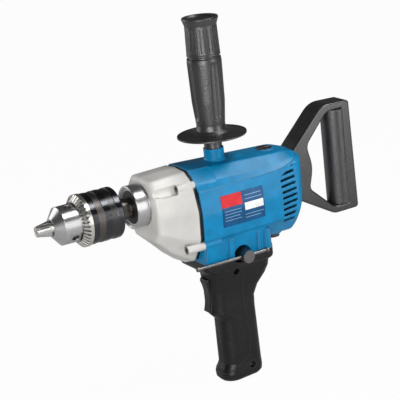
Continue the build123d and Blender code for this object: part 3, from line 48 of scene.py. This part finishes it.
# %% [markdown]
# ## The camera
# The photograph looks at the drill's left flank, from the chuck's end and a little above. Its view was
# worked out from the drill's own circles and right angles. A long lens from over one and a half metres
# keeps the perspective gentle, and the camera is rolled so that the side handle leans to the left.
# The three axes of the camera make the columns of its matrix, which is simpler than juggling angles.

# %% Photograph's camera
photo_target = Vector((0.1706, 0.0, -0.01183))
azimuth, elevation, roll = radians(-28.39), radians(16.55), radians(-6.28)
photo_distance = 1.62887
back = Vector((sin(azimuth) * cos(elevation), -cos(azimuth) * cos(elevation), sin(elevation)))
level_right = Vector((cos(azimuth), sin(azimuth), 0.0))
level_up = back.cross(level_right)
right = cos(roll) * level_right + sin(roll) * level_up
up = cos(roll) * level_up - sin(roll) * level_right
camera = bpy.data.objects.new("camera", bpy.data.cameras.new("camera"))
camera.matrix_world = Matrix.Translation(photo_target + back * photo_distance) @ Matrix(
    (right, up, back)
).transposed().to_4x4()
camera.data.sensor_width = 36.0
camera.data.lens = 140.6
bpy.context.collection.objects.link(camera)
bpy.context.scene.camera = camera
print("camera at", [round(v, 3) for v in camera.matrix_world.translation])

# %% [markdown]
# ## Building shader nodes
# Every finish here is made of nodes, and a few helpers keep that readable: one makes a node and sets its
# sockets, one mixes two colours, and one makes a mask that is 1 between two values.

# %% Node helpers


def place(tree, kind, sockets=None, **settings):
    """Adds a node, sets its own settings, and fills or links its input sockets by name."""
    made = tree.nodes.new(kind)
    for name, value in settings.items():
        setattr(made, name, value)
    for name, value in (sockets or {}).items():
        feed(tree, made.inputs[name], value)
    return made


def feed(tree, socket, value):
    """Links an output socket, or sets a plain value."""
    if isinstance(value, bpy.types.NodeSocket):
        tree.links.new(value, socket)
    else:
        socket.default_value = value


def blend(tree, share, first, second, how="MIX"):
    """A colour between two others."""
    made = tree.nodes.new("ShaderNodeMix")
    made.data_type = "RGBA"
    made.blend_type = how
    for index, value in ((0, share), (6, first), (7, second)):
        feed(tree, made.inputs[index], value)
    return made.outputs[2]


def math(tree, operation, first, second=0.0, clamp=False):
    """One sum of two numbers."""
    made = tree.nodes.new("ShaderNodeMath")
    made.operation = operation
    made.use_clamp = clamp
    feed(tree, made.inputs[0], first)
    feed(tree, made.inputs[1], second)
    return made.outputs[0]


def ramp(tree, value, low, high, to_low=0.0, to_high=1.0):
    """Stretches a range of values onto another, smoothly and without overshoot."""
    made = place(tree, "ShaderNodeMapRange", {
        "Value": value, "From Min": low, "From Max": high, "To Min": to_low, "To Max": to_high,
    }, interpolation_type="SMOOTHSTEP")
    return made.outputs[0]


def between(tree, value, low, high, soft=0.0003):
    """A mask that is 1 between two values and fades out over a short way."""
    rise = ramp(tree, value, low - soft, low + soft)
    fall = ramp(tree, value, high - soft, high + soft, 1.0, 0.0)
    return math(tree, "MULTIPLY", rise, fall)


def position(tree):
    """The surface point in the drill's own frame, in metres, as (x, y, z) sockets."""
    where = place(tree, "ShaderNodeTexCoord")
    parts = place(tree, "ShaderNodeSeparateXYZ", {"Vector": where.outputs["Object"]})
    return parts.outputs


def new_group(name, inputs, outputs):
    """An empty shader node group with named sockets; returns its tree and its two end nodes."""
    tree = bpy.data.node_groups.new(name, "ShaderNodeTree")
    for label, kind, value in inputs:
        socket = tree.interface.new_socket(name=label, in_out="INPUT", socket_type=kind)
        socket.default_value = value
    for label, kind in outputs:
        tree.interface.new_socket(name=label, in_out="OUTPUT", socket_type=kind)
    return tree, tree.nodes.new("NodeGroupInput").outputs, tree.nodes.new("NodeGroupOutput").inputs


number = "NodeSocketFloat"
arrow = "NodeSocketVector"
print("node helpers ready")

# %% [markdown]
# ## Soft edges
# No moulded or cast edge is razor sharp: light always catches a small radius there. The Bevel node
# rounds the shading normal near edges without touching the mesh, and comparing it with the true normal
# gives a mask of where the edges are; there the colour is painted paler, partly wear, partly a painted
# highlight.

# %% Group: soft edge
soft_edge, given, result = new_group(
    "soft edge", [("Radius", number, 0.0006)], [("Normal", arrow), ("Edge", number)]
)
rounded = place(soft_edge, "ShaderNodeBevel", {"Radius": given["Radius"]}, samples=6)
true_normal = place(soft_edge, "ShaderNodeNewGeometry").outputs["Normal"]
turn = place(
    soft_edge, "ShaderNodeVectorMath", {0: rounded.outputs[0], 1: true_normal}, operation="DOT_PRODUCT"
)
feed(soft_edge, result["Normal"], rounded.outputs[0])
feed(soft_edge, result["Edge"], ramp(soft_edge, turn.outputs["Value"], 1.0, 0.86))
print("group", soft_edge.name)

# %% [markdown]
# ## Grain, smudges and painted shade
# Moulded plastic carries a spark-eroded grain, cast and painted metal a faint orange peel. Handling
# leaves smudges that change the gloss more than the colour, and corners and gaps get painted shade, in
# patches. Each of these is one group, so that the plastic, the paint and the steel share them at their own
# strength.

# %% Group: moulded grain
moulded_grain, given, result = new_group(
    "moulded grain", [("Scale", number, 900.0)], [("Shade", number), ("Height", number)]
)
spot = place(moulded_grain, "ShaderNodeTexCoord").outputs["Object"]
cells = place(moulded_grain, "ShaderNodeTexVoronoi", {
    "Vector": spot, "Scale": given["Scale"], "Randomness": 1.0,
}, feature="SMOOTH_F1")
cloud = place(moulded_grain, "ShaderNodeTexNoise", {
    "Vector": spot, "Scale": math(moulded_grain, "MULTIPLY", given["Scale"], 0.06), "Detail": 5.0,
})
feed(moulded_grain, result["Height"], cells.outputs["Distance"])
feed(moulded_grain, result["Shade"], ramp(moulded_grain, cloud.outputs[0], 0.3, 0.7, 0.88, 1.12))
print("group", moulded_grain.name)

# %% Group: smudges
smudges, given, result = new_group(
    "smudges", [("Polished", number, 0.3), ("Matt", number, 0.5), ("Scale", number, 25.0)],
    [("Roughness", number)],
)
spot = place(smudges, "ShaderNodeTexCoord").outputs["Object"]
patches = place(smudges, "ShaderNodeTexNoise", {
    "Vector": spot, "Scale": given["Scale"], "Detail": 6.0, "Roughness": 0.6, "Distortion": 0.6,
})
share = ramp(smudges, patches.outputs[0], 0.35, 0.68)
span = math(smudges, "SUBTRACT", given["Matt"], given["Polished"])
feed(smudges, result["Roughness"], math(
    smudges, "ADD", given["Polished"], math(smudges, "MULTIPLY", span, share)))
print("group", smudges.name)

# %% Group: painted corner shade
corner_shade, given, result = new_group(
    "corner shade", [("Reach", number, 0.004), ("Amount", number, 0.6), ("Open", number, 0.75)],
    [("Painted Shade", number)],
)
# Painted shade: the colour darkens where ambient occlusion finds a corner or a gap, broken into patches by
# noise.
shelter = place(corner_shade, "ShaderNodeAmbientOcclusion", {"Distance": given["Reach"]}, samples=8)
spot = place(corner_shade, "ShaderNodeTexCoord").outputs["Object"]
breakup = place(corner_shade, "ShaderNodeTexNoise", {"Vector": spot, "Scale": 260.0, "Detail": 4.0})
depth = ramp(corner_shade, shelter.outputs["AO"], given["Open"], 0.2)
patchy = math(corner_shade, "MULTIPLY", depth, ramp(corner_shade, breakup.outputs[0], 0.25, 0.6, 0.5, 1.0))
feed(corner_shade, result["Painted Shade"], math(corner_shade, "MULTIPLY", patchy, given["Amount"], clamp=True))
print("group", corner_shade.name)

# %% Group: turning marks
turning_marks, given, result = new_group(
    "turning marks", [("Pitch", number, 2600.0)], [("Shade", number), ("Height", number)]
)
x, y, z = position(turning_marks)
ring_count = math(turning_marks, "MULTIPLY", x, given["Pitch"])
along = place(turning_marks, "ShaderNodeCombineXYZ", {"X": ring_count})
rings = place(turning_marks, "ShaderNodeTexNoise", {
    "Vector": along.outputs[0], "Scale": 1.0, "Detail": 3.0,
})
feed(turning_marks, result["Height"], rings.outputs[0])
feed(turning_marks, result["Shade"], ramp(turning_marks, rings.outputs[0], 0.3, 0.7, 0.85, 1.1))
print("group", turning_marks.name)


# %% [markdown]
# ## A finish, step by step
# Most finishes follow one recipe: a base colour, shaded by the grain and darkened by painted shade in
# corners, a roughness from the smudges, and a bump on top of the softened edges. The shader stays in the
# material itself; the groups only put out values and normals for it. Only the shader itself and its
# constant sockets stay in the material, so an exporter can read them.

# %% Finish recipe


def grouped(tree, group, **sockets):
    """Places one of the shared groups in a material."""
    made = place(tree, "ShaderNodeGroup", node_tree=group)
    for name, value in sockets.items():
        feed(tree, made.inputs[name], value)
    return made.outputs


def start_finish(name, metallic=0.0, **constants):
    """A new material; constants are set on the shader's own sockets."""
    material = bpy.data.materials.new(name)
    material.use_nodes = True
    tree = material.node_tree
    shader = tree.nodes["Principled BSDF"]
    shader.inputs["Metallic"].default_value = metallic
    for label, value in constants.items():
        shader.inputs[label.replace("_", " ").title().replace("Ior", "IOR")].default_value = value
    return material, tree, shader


def surface(tree, shader, colour, grain, painted_shade, shade_colour, roughness, height, depth,
            edge_radius, edge_wear_and_highlight=0.0):
    """Joins colour, painted shade in corners, roughness and bump to a shader; edges are painted paler by a
    given share, partly wear and partly a painted highlight.
    """
    edge = grouped(tree, soft_edge, Radius=edge_radius)
    tone = blend(tree, 1.0, colour, grain, "MULTIPLY")
    # Painted highlight and wear: near edges the colour is blended towards white.
    if edge_wear_and_highlight:
        lighter = blend(tree, edge_wear_and_highlight, colour, (1.0, 1.0, 1.0, 1.0))
        tone = blend(tree, edge["Edge"], tone, lighter)
    feed(tree, shader.inputs["Base Color"], blend(tree, painted_shade, tone, shade_colour))
    feed(tree, shader.inputs["Roughness"], roughness)
    bump = place(tree, "ShaderNodeBump", {
        "Height": height, "Normal": edge["Normal"], "Strength": 1.0, "Distance": depth,
    })
    feed(tree, shader.inputs["Normal"], bump.outputs[0])


def dress(material, *names):
    """Gives a CAD node its finish."""
    for name in names:
        slots = nodes[name].data.materials
        slots.clear()
        slots.append(material)
    print(material.name, "on", len(names), "pieces")


# %% [markdown]
# ## Black moulded plastic
# The grips, the rear handle, the trigger and the plate behind the gear case are glass-filled nylon: very
# dark grey rather than black, with a fine grain that breaks the highlights. Their edges are painted slightly
# paler, partly wear and partly a painted highlight, and painted shade darkens their corners. The side handle
# and the rear grip have a coarser grain, and the flanks of the pistol grip add pebbles, kept by a mask to
# the sunk panels where the mould has them.

# %% Finish: black plastic


def black_plastic(name, colour, gleam, polished, matt, grain_scale, grain_depth, pebbles=None):
    """A dark moulding; gleam is the share of light its skin mirrors, pebbles an optional coarser bump."""
    material, tree, shader = start_finish(name, specular_ior_level=gleam)
    grain = grouped(tree, moulded_grain, Scale=grain_scale)
    painted_shade = grouped(tree, corner_shade, Reach=0.003, Amount=0.35)
    gloss = grouped(tree, smudges, Polished=polished, Matt=matt, Scale=32.0)
    height = grain["Height"]
    if pebbles:
        height = math(tree, "ADD", height, pebbles(tree))
    surface(tree, shader, colour, grain["Shade"], painted_shade["Painted Shade"], (0.005, 0.005, 0.005, 1.0),
            gloss["Roughness"], height, grain_depth, 0.0009, edge_wear_and_highlight=0.03)
    return material


def panel_pebbles(tree):
    """Coarse pebbles on the sunk panels in the flanks of the pistol grip."""
    x, y, z = position(tree)
    coarse = grouped(tree, moulded_grain, Scale=620.0)["Height"]
    panel_height = between(tree, z, -0.19, -0.096, 0.002)
    panel_length = ramp(tree, x, 0.197, 0.201, 1.0, 0.0)
    panel = math(tree, "MULTIPLY", panel_height, panel_length)
    return math(tree, "MULTIPLY", math(tree, "MULTIPLY", coarse, panel), 3.0)


grip_black = black_plastic("grip_black", (0.005, 0.005, 0.0055, 1.0), 0.35, 0.34, 0.46, 1500.0, 0.00008,
                           panel_pebbles)
barrel_black = black_plastic("barrel_black", (0.013, 0.0125, 0.014, 1.0), 1.0, 0.34, 0.4, 700.0, 0.0002)
handle_black = black_plastic("handle_black", (0.008, 0.008, 0.009, 1.0), 1.0, 0.22, 0.3, 1800.0, 0.00003)
plate_black = black_plastic("plate_black", (0.006, 0.006, 0.007, 1.0), 0.35, 0.38, 0.5, 1500.0, 0.00006)
dress(grip_black, "grip_left", "grip_right", "trigger")
dress(barrel_black, "side_handle_grip", "rear_handle_grip")
dress(handle_black, "rear_handle", "brush_caps")
dress(plate_black, "inner_plate", "switch_body", "cord_clamp")

# %% [markdown]
# ## Blue housing
# The motor housing is a satin moulding in a strong mid blue. Its colour is even but for a painted highlight
# that pales its edges and painted shade in its corners, so the form is carried by broad soft highlights on
# the slanted upper flank.

# %% Finish: blue plastic
blue_plastic, tree, shader = start_finish("blue_plastic", specular_ior_level=0.24)
grain = grouped(tree, moulded_grain, Scale=1300.0)
# Painted shade darkens the corners towards a deep blue; a painted highlight pales the edges towards white.
painted_shade = grouped(tree, corner_shade, Reach=0.003, Amount=0.35)
gloss = grouped(tree, smudges, Polished=0.3, Matt=0.4, Scale=22.0)
surface(tree, shader, (0.0, 0.195, 0.41, 1.0), grain["Shade"], painted_shade["Painted Shade"], (0.004, 0.05, 0.12, 1.0),
        gloss["Roughness"], grain["Height"], 0.00004, 0.0012, edge_wear_and_highlight=0.08)
dress(blue_plastic, "motor_housing")

# %% [markdown]
# ## Painted gear case
# The gear case is an aluminium casting in pale warm grey. Satin paint rounds every edge, and the cast
# skin under it shows as a faint orange peel.

# %% Finish: case paint
case_paint, tree, shader = start_finish(
    "case_paint", specular_ior_level=0.45, coat_weight=0.15, coat_roughness=0.25
)
grain = grouped(tree, moulded_grain, Scale=420.0)
# Painted shade darkens the corners and seams; edges are painted paler, partly wear, partly a painted
# highlight.
painted_shade = grouped(tree, corner_shade, Reach=0.004, Amount=0.45)
gloss = grouped(tree, smudges, Polished=0.32, Matt=0.45, Scale=18.0)
surface(tree, shader, (0.58, 0.566, 0.54, 1.0), grain["Shade"], painted_shade["Painted Shade"], (0.2, 0.19, 0.17, 1.0),
        gloss["Roughness"], grain["Height"], 0.00008, 0.0022, edge_wear_and_highlight=0.06)
dress(case_paint, "gear_case")

# %% [markdown]
# ## Steel
# The chuck's nose, jaws and collar are turned and ground bright. Turning leaves fine rings round the
# axis, which stretch the highlights. Bump alone would need far more detail than the eye sees, so the
# shader's anisotropy does the stretching, along a tangent that runs round the X axis. Their edges are
# painted paler, partly wear and partly a painted highlight. The key and the screws are drawn steel,
# without rings. The chuck's sleeve is blackened with two matt bands for grip, but its bevel teeth and
# the ring behind them are left bright: one finish, told apart by the distance along the axis, with
# painted shade in the gaps between the teeth.

# %% Finish: bright steel


def turned(tree, shader):
    """Stretches the mirrored light along the axis, across the fine rings that the lathe left."""
    rings = place(tree, "ShaderNodeTangent", direction_type="RADIAL", axis="X")
    feed(tree, shader.inputs["Tangent"], rings.outputs[0])


ring_depth = 0.000004


def bright_steel(name, colour, polished, matt):
    """Turned and ground steel, with the lathe's rings, edges painted paler (partly wear, partly a painted
    highlight) and painted shade in corners.
    """
    material, tree, shader = start_finish(name, metallic=1.0, anisotropic=0.7, anisotropic_rotation=0.25)
    turned(tree, shader)
    marks = grouped(tree, turning_marks, Pitch=2600.0)
    painted_shade = grouped(tree, corner_shade, Reach=0.003, Amount=0.7)
    gloss = grouped(tree, smudges, Polished=polished, Matt=matt, Scale=45.0)
    surface(tree, shader, colour, marks["Shade"], painted_shade["Painted Shade"], (0.05, 0.045, 0.04, 1.0),
            gloss["Roughness"], marks["Height"], ring_depth, 0.0005, edge_wear_and_highlight=0.3)
    return material


def drawn_steel(name, colour, polished, matt):
    """The steel of bars and screws, drawn and blackened, so without the rings of a lathe."""
    material, tree, shader = start_finish(name, metallic=1.0)
    grain = grouped(tree, moulded_grain, Scale=1600.0)
    painted_shade = grouped(tree, corner_shade, Reach=0.003, Amount=0.6)
    gloss = grouped(tree, smudges, Polished=polished, Matt=matt, Scale=45.0)
    surface(tree, shader, colour, grain["Shade"], painted_shade["Painted Shade"], (0.02, 0.018, 0.016, 1.0),
            gloss["Roughness"], grain["Height"], 0.000002, 0.0003)
    return material


nose_steel = bright_steel("nose_steel", (0.58, 0.58, 0.58, 1.0), 0.28, 0.36)
jaw_steel = bright_steel("jaw_steel", (0.7, 0.68, 0.66, 1.0), 0.3, 0.4)
collar_steel = bright_steel("collar_steel", (0.6, 0.6, 0.6, 1.0), 0.34, 0.42)
# The spindle shows only in the gap behind the chuck's sleeve; its steel is given a dark colour as painted
# shade of that gap.
neck_steel = bright_steel("neck_steel", (0.12, 0.11, 0.1, 1.0), 0.26, 0.38)
key_steel = drawn_steel("key_steel", (0.16, 0.15, 0.15, 1.0), 0.34, 0.42)
screw_steel = drawn_steel("screw_steel", (0.2, 0.19, 0.18, 1.0), 0.3, 0.45)
inner_steel = bright_steel("inner_steel", (0.5, 0.5, 0.5, 1.0), 0.3, 0.42)
dress(nose_steel, "chuck_body")
dress(jaw_steel, "chuck_jaw_1", "chuck_jaw_2", "chuck_jaw_3")
dress(collar_steel, "neck_collar")
dress(neck_steel, "spindle")
dress(key_steel, "chuck_key", "chuck_key_bar")
dress(screw_steel, "gear_case_screws", "rear_handle_screws", "grip_screws", "grip_foot_screws",
      "cord_clamp_screws")
dress(inner_steel, "chuck_nut", "chuck_lock_screw", "spindle_gear", "counter_shaft", "counter_gear",
      "armature_shaft", "spindle_front_bearing", "armature_front_bearing", "armature_rear_bearing",
      "side_handle_stud", "trigger_spring", "brush_springs")

# %% Finish: chuck sleeve
sleeve_black, tree, shader = start_finish(
    "sleeve_black", metallic=1.0, anisotropic=0.6, anisotropic_rotation=0.25
)
turned(tree, shader)
x, y, z = position(tree)
marks = grouped(tree, turning_marks, Pitch=2600.0)
grain = grouped(tree, moulded_grain, Scale=2200.0)
# Painted shade, strong here, darkens the gaps between the bevel teeth; the edges are painted paler, partly
# wear, partly a painted highlight.
painted_shade = grouped(tree, corner_shade, Reach=0.004, Amount=1.0, Open=0.98)
ring_end = 0.035
ring = ramp(tree, x, ring_end - 0.0002, ring_end + 0.0002, 1.0, 0.0)
front_band = between(tree, x, 0.0417, 0.0487)
rear_band = between(tree, x, 0.0562, 0.0632)
colour = blend(tree, front_band, (0.07, 0.071, 0.078, 1.0), (0.14, 0.13, 0.122, 1.0))
colour = blend(tree, rear_band, colour, (0.085, 0.084, 0.086, 1.0))
colour = blend(tree, ring, colour, (0.72, 0.69, 0.65, 1.0))
bands = math(tree, "MAXIMUM", front_band, math(tree, "MULTIPLY", rear_band, 0.5))
body_rough = ramp(tree, bands, 0.0, 1.0, 0.22, 0.44)
rough = math(tree, "ADD", body_rough, math(tree, "MULTIPLY", ring, 0.06))
pebbled = math(tree, "MULTIPLY", grain["Height"], bands)
height = math(tree, "ADD", marks["Height"], math(tree, "MULTIPLY", pebbled, 2.5))
surface(tree, shader, colour, marks["Shade"], painted_shade["Painted Shade"], (0.02, 0.017, 0.015, 1.0),
        rough, height, 0.00002, 0.0006, edge_wear_and_highlight=0.12)
dress(sleeve_black, "chuck_sleeve")

# %% [markdown]
# ## Inner pieces
# Little of the motor shows, but it can be seen through the air slots: varnished copper, laminated iron,
# bronze bushes and a moulded fan.

# %% Finish: motor pieces


def inner_finish(name, colour, metallic, polished, matt):
    """A plain workshop finish for pieces that hardly show."""
    material, tree, shader = start_finish(name, metallic=metallic)
    grain = grouped(tree, moulded_grain, Scale=700.0)
    painted_shade = grouped(tree, corner_shade, Reach=0.003, Amount=0.5)
    gloss = grouped(tree, smudges, Polished=polished, Matt=matt, Scale=60.0)
    surface(tree, shader, colour, grain["Shade"], painted_shade["Painted Shade"], (0.02, 0.018, 0.015, 1.0),
            gloss["Roughness"], grain["Height"], 0.00005, 0.0004)
    return material


dress(inner_finish("copper", (0.5, 0.2, 0.08, 1.0), 1.0, 0.3, 0.5),
      "armature_windings", "field_coils", "commutator")
dress(inner_finish("core_iron", (0.25, 0.25, 0.26, 1.0), 1.0, 0.4, 0.6), "armature_core", "field_core")
dress(inner_finish("bronze", (0.5, 0.33, 0.15, 1.0), 1.0, 0.3, 0.45),
      "spindle_rear_bush", "counter_front_bush", "counter_rear_bush", "brush_holders", "side_handle_insert")
dress(inner_finish("carbon", (0.03, 0.03, 0.03, 1.0), 0.0, 0.45, 0.6), "carbon_brushes")
dress(inner_finish("fan_plastic", (0.05, 0.05, 0.05, 1.0), 0.0, 0.4, 0.5), "cooling_fan")
dress(inner_finish("soft_rubber", (0.015, 0.015, 0.015, 1.0), 0.0, 0.5, 0.7), "spindle_seal", "cord_gland")

# %% [markdown]
# ## Rating plate
# A printed sheet on the near flank. It stays free of words and signs: a dark blue ground, one red and one
# white field, and a few thin rules such as any data plate has.

# %% Finish: rating plate
label_print, tree, shader = start_finish("label_print", specular_ior_level=0.2)
x, y, z = position(tree)
low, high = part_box("rating_plate")
across = math(tree, "DIVIDE", math(tree, "SUBTRACT", x, low.x), high.x - low.x)
down = math(tree, "DIVIDE", math(tree, "SUBTRACT", high.z, z), high.z - low.z)
grain = grouped(tree, moulded_grain, Scale=1500.0)
gloss = grouped(tree, smudges, Polished=0.25, Matt=0.36, Scale=30.0)


def field(left, right_edge, top, bottom):
    """A mask for a rectangle on the plate, in shares of its length and height."""
    wide = between(tree, across, left, right_edge, 0.004)
    return math(tree, "MULTIPLY", wide, between(tree, down, top, bottom, 0.006))


rule_thick = 0.015
rule_places = (
    (0.05, 0.44, 0.6), (0.05, 0.4, 0.7), (0.05, 0.44, 0.8), (0.53, 0.97, 0.75), (0.53, 0.9, 0.85),
    (0.55, 0.95, 0.14), (0.55, 0.95, 0.26),
)
rules = field(0.05, 0.44, 0.5, 0.5 + rule_thick)
for left, right_edge, top in rule_places:
    rules = math(tree, "MAXIMUM", rules, field(left, right_edge, top, top + rule_thick))
colour = blend(tree, rules, (0.006, 0.075, 0.2, 1.0), (0.3, 0.45, 0.6, 1.0))
colour = blend(tree, field(-0.1, 0.48, -0.1, 0.38), colour, (0.62, 0.012, 0.02, 1.0))
colour = blend(tree, field(0.53, 0.975, 0.38, 0.62), colour, (0.8, 0.82, 0.82, 1.0))
surface(tree, shader, colour, grain["Shade"], 0.0, (0.0, 0.0, 0.0, 1.0),
        gloss["Roughness"], grain["Height"], 0.00001, 0.0004)
dress(label_print, "rating_plate")

# %% [markdown]
# ## Floor and light
# A plain white studio. The floor shows white to the camera and lends a share of that white to what mirrors
# it, but is an ordinary pale floor for the light itself, so the drill is not lit by its own background. The
# world is white to the camera too, but a dim grey for the light, as a dark room behind the lamps, which
# keeps the tops of the black mouldings deep.

# %% Floor and world
world = bpy.data.worlds.new("studio")
bpy.context.scene.world = world
world.use_nodes = True
room = world.node_tree.nodes["Background"].inputs
room["Color"].default_value = (0.97, 0.98, 1.0, 1.0)
room_light, room_white = 0.08, 0.9
seen = place(world.node_tree, "ShaderNodeLightPath").outputs["Is Camera Ray"]
seen_share = math(world.node_tree, "MULTIPLY", seen, room_white)
feed(world.node_tree, room["Strength"], math(world.node_tree, "ADD", seen_share, room_light))

half_floor = 12.0
floor_z = cad_low.z - 0.0005
corners = [(x * half_floor, y * half_floor, floor_z) for x, y in ((-1, -1), (1, -1), (1, 1), (-1, 1))]
floor_mesh = bpy.data.meshes.new("floor")
floor_mesh.from_pydata(corners, [], [(0, 1, 2, 3)])
floor = bpy.data.objects.new("floor", floor_mesh)
bpy.context.collection.objects.link(floor)
floor_white, tree, shader = start_finish("floor_white", roughness=0.9)
shader.inputs["Base Color"].default_value = (0.55, 0.55, 0.55, 1.0)
glow = place(tree, "ShaderNodeEmission", {"Color": (1.0, 1.0, 1.0, 1.0), "Strength": 1.0})
rays = place(tree, "ShaderNodeLightPath").outputs
mirrored = math(tree, "MAXIMUM", rays["Is Glossy Ray"], rays["Is Transmission Ray"])
seen_white, mirrored_white = 0.97, 0.2
white_share = math(tree, "ADD", math(tree, "MULTIPLY", rays["Is Camera Ray"], seen_white),
                   math(tree, "MULTIPLY", mirrored, mirrored_white), clamp=True)
mixed = place(tree, "ShaderNodeMixShader", {0: white_share, 1: shader.outputs[0], 2: glow.outputs[0]})
feed(tree, tree.nodes["Material Output"].inputs["Surface"], mixed.outputs[0])
floor_mesh.materials.append(floor_white)
floor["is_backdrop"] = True
print("floor at", round(1000 * floor_z, 1), "mm")

# %% [markdown]
# ## Lamps
# One large soft lamp from the front left shapes the forms. A panel overhead is there for its reflection:
# the housing's slanted upper flank mirrors it as a broad pale band. A smaller panel at the right stands
# where the camera sees it mirrored in a round bar laid along X, so it draws the bright line on the chuck
# and the collar, and in the flat flanks and the upright barrel too, which gives the black grips their sheen.
# A weaker one on the far side fills that flank, and stands clear of what the near side mirrors.

# %% Lamps


def lamp(name, place_at, aim, size, power):
    """A white rectangular panel that faces the drill; sizes in metres, power in watts."""
    data = bpy.data.lights.new(name, "AREA")
    data.shape = "RECTANGLE"
    data.size, data.size_y = size
    data.energy = power
    made = bpy.data.objects.new(name, data)
    made.location = place_at
    made.rotation_euler = (Vector(aim) - Vector(place_at)).to_track_quat("-Z", "Y").to_euler()
    bpy.context.collection.objects.link(made)


aim = (0.17, 0.0, 0.0)
lamp("front_lamp", (-0.72, -1.2, 0.29), aim, (0.9, 1.0), 18.0)
lamp("over_lamp", (0.87, -0.46, 1.3), aim, (0.8, 0.45), 13.0)
lamp("right_lamp", (0.72, -0.92, 0.13), aim, (0.4, 0.66), 3.4)
lamp("far_lamp", (-0.7, 1.25, 0.4), aim, (0.9, 0.9), 6.0)
bpy.context.scene.view_settings.view_transform = "Standard"
print("four lamps")

# %% Finish
low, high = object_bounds()
print("visual box in mm:", [round(1000 * v) for v in (*low, *high)])
